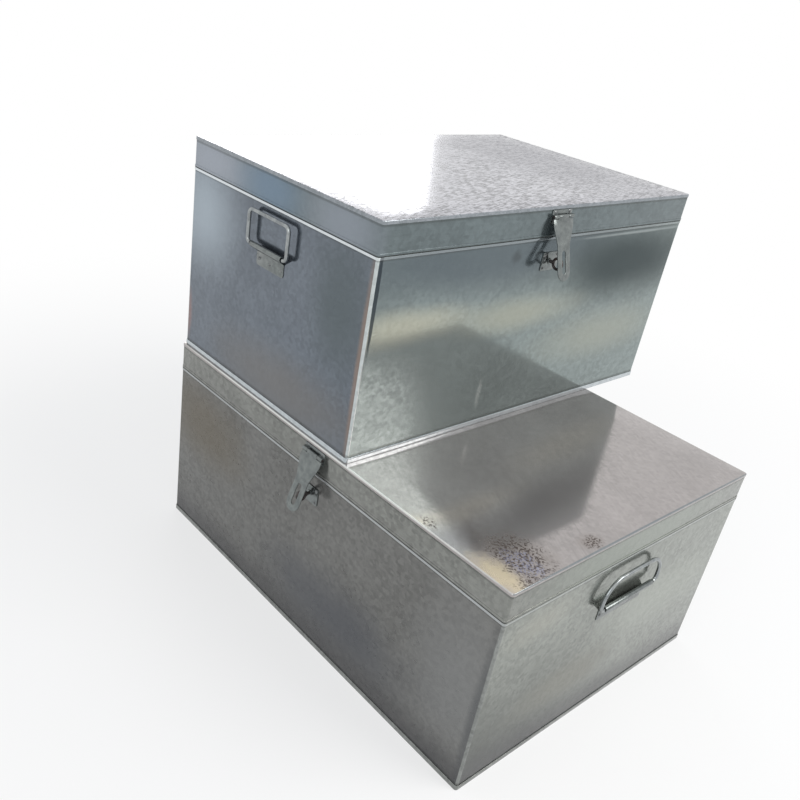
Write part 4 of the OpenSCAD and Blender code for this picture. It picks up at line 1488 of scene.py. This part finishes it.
@dataclass
class Studio:
    """The pale floor, the soft lights and the camera at the photograph's angle."""

    lens: float = 38.141
    shift: tuple[float, float] = (0.05, 0.04)
    eye: Point = (0.9439, -1.1685, 1.1374)
    right: Point = (0.63642, 0.75811, 0.14227)
    up: Point = (-0.4528, 0.21786, 0.86459)
    back: Point = (0.62445, -0.61466, 0.48192)
    sky: Colour = (0.93, 0.96, 1.0)
    sky_strength: float = 0.62
    white: Colour = (1.0, 1.0, 1.0)
    floor_tone: Colour = (0.86, 0.86, 0.86)

    def build(self) -> None:
        """Sets up the whole studio."""
        bpy.context.scene.view_settings.view_transform = "Standard"
        self.camera()
        self.world()
        self.floor()
        for lamp in LAMPS:
            lamp.build()

    def camera(self) -> None:
        """The camera of the photograph, rolled a little, with a small shift for its framing."""
        data = bpy.data.cameras.new("view")
        data.sensor_fit = "HORIZONTAL"
        data.sensor_width = 36.0
        data.lens = self.lens
        data.shift_x, data.shift_y = self.shift
        data.clip_start, data.clip_end = 0.02, 100.0
        camera = bpy.data.objects.new("view", data)
        bpy.context.scene.collection.objects.link(camera)
        turn = Matrix((self.right, self.up, self.back)).transposed().to_4x4()
        camera.matrix_world = Matrix.Translation(self.eye) @ turn
        bpy.context.scene.camera = camera

    @staticmethod
    def seen(w: Wiring) -> Socket:
        """One for rays from the camera, from gloss and through glass."""
        path = w.add("LightPath")
        shown = w.sum("MAXIMUM", path.outputs["Is Camera Ray"], path.outputs["Is Glossy Ray"])
        return w.sum("MAXIMUM", shown, path.outputs["Is Transmission Ray"])

    def world(self) -> None:
        """A soft sky that is seen, and mirrored, as plain white."""
        world = bpy.data.worlds.new("studio")
        bpy.context.scene.world = world
        world.use_nodes = True
        w = Wiring(world.node_tree)
        w.tree.nodes.clear()
        light = w.add("Background", {"Color": self.sky, "Strength": self.sky_strength})
        white = w.add("Background", {"Color": self.white, "Strength": 1.0})
        both = w.add("MixShader", {0: self.seen(w), 1: light.outputs[0], 2: white.outputs[0]})
        w.add("OutputWorld", {"Surface": both.outputs[0]})

    def floor(self) -> None:
        """A wide pale floor that keeps the shadow and runs out to white."""
        Bench.clear()
        bpy.ops.mesh.primitive_plane_add(size=60.0, location=(0, 0, 0))
        floor = bpy.context.object
        floor.name = "floor"
        material, w = new_material("pale floor")
        shader = w.tree.nodes["Principled BSDF"]
        for key, value in (("Base Color", self.floor_tone), ("Roughness", 0.9),
                           ("Specular IOR Level", 0.0)):
            w.feed(shader.inputs[key], value)
        white = w.add("Emission", {"Color": self.white, "Strength": 1.0})
        far = w.fade(w.vector("LENGTH", w.place()), 0.8, 2.2, 0.65, 1.0)
        factor = w.sum("MULTIPLY", far, self.seen(w))
        both = w.add("MixShader", {0: factor, 1: shader.outputs[0], 2: white.outputs[0]})
        w.feed(w.tree.nodes["Material Output"].inputs["Surface"], both.outputs[0])
        floor.data.materials.append(material)


# Build


def main() -> None:
    """Builds the studio and both trunks."""
    logging.basicConfig(level=logging.INFO, format="%(message)s")
    Studio().build()
    coats = all_coats()
    for trunk in (LOWER, UPPER):
        log.info("the %s trunk", trunk.name)
        hinges, hasp, handles = (kind(trunk, coats) for kind in (Hinges, Hasp, Handles))
        for maker in (TrunkBody(trunk, coats), TrunkLid(trunk, coats), hinges, hasp, handles):
            maker.build()
        rivets = Rivets(trunk, coats)
        rivets.group("carcass_rivets", "carcass", "body_rivets",
                     hinges.rivets(-1) + hasp.plate_rivets() + handles.rivets())
        rivets.group("cover_rivets", "lid", "lid_rivets",
                     hinges.rivets(1) + hasp.leaf_rivets())
    bpy.context.view_layer.update()


if __name__ == "__main__":
    main()
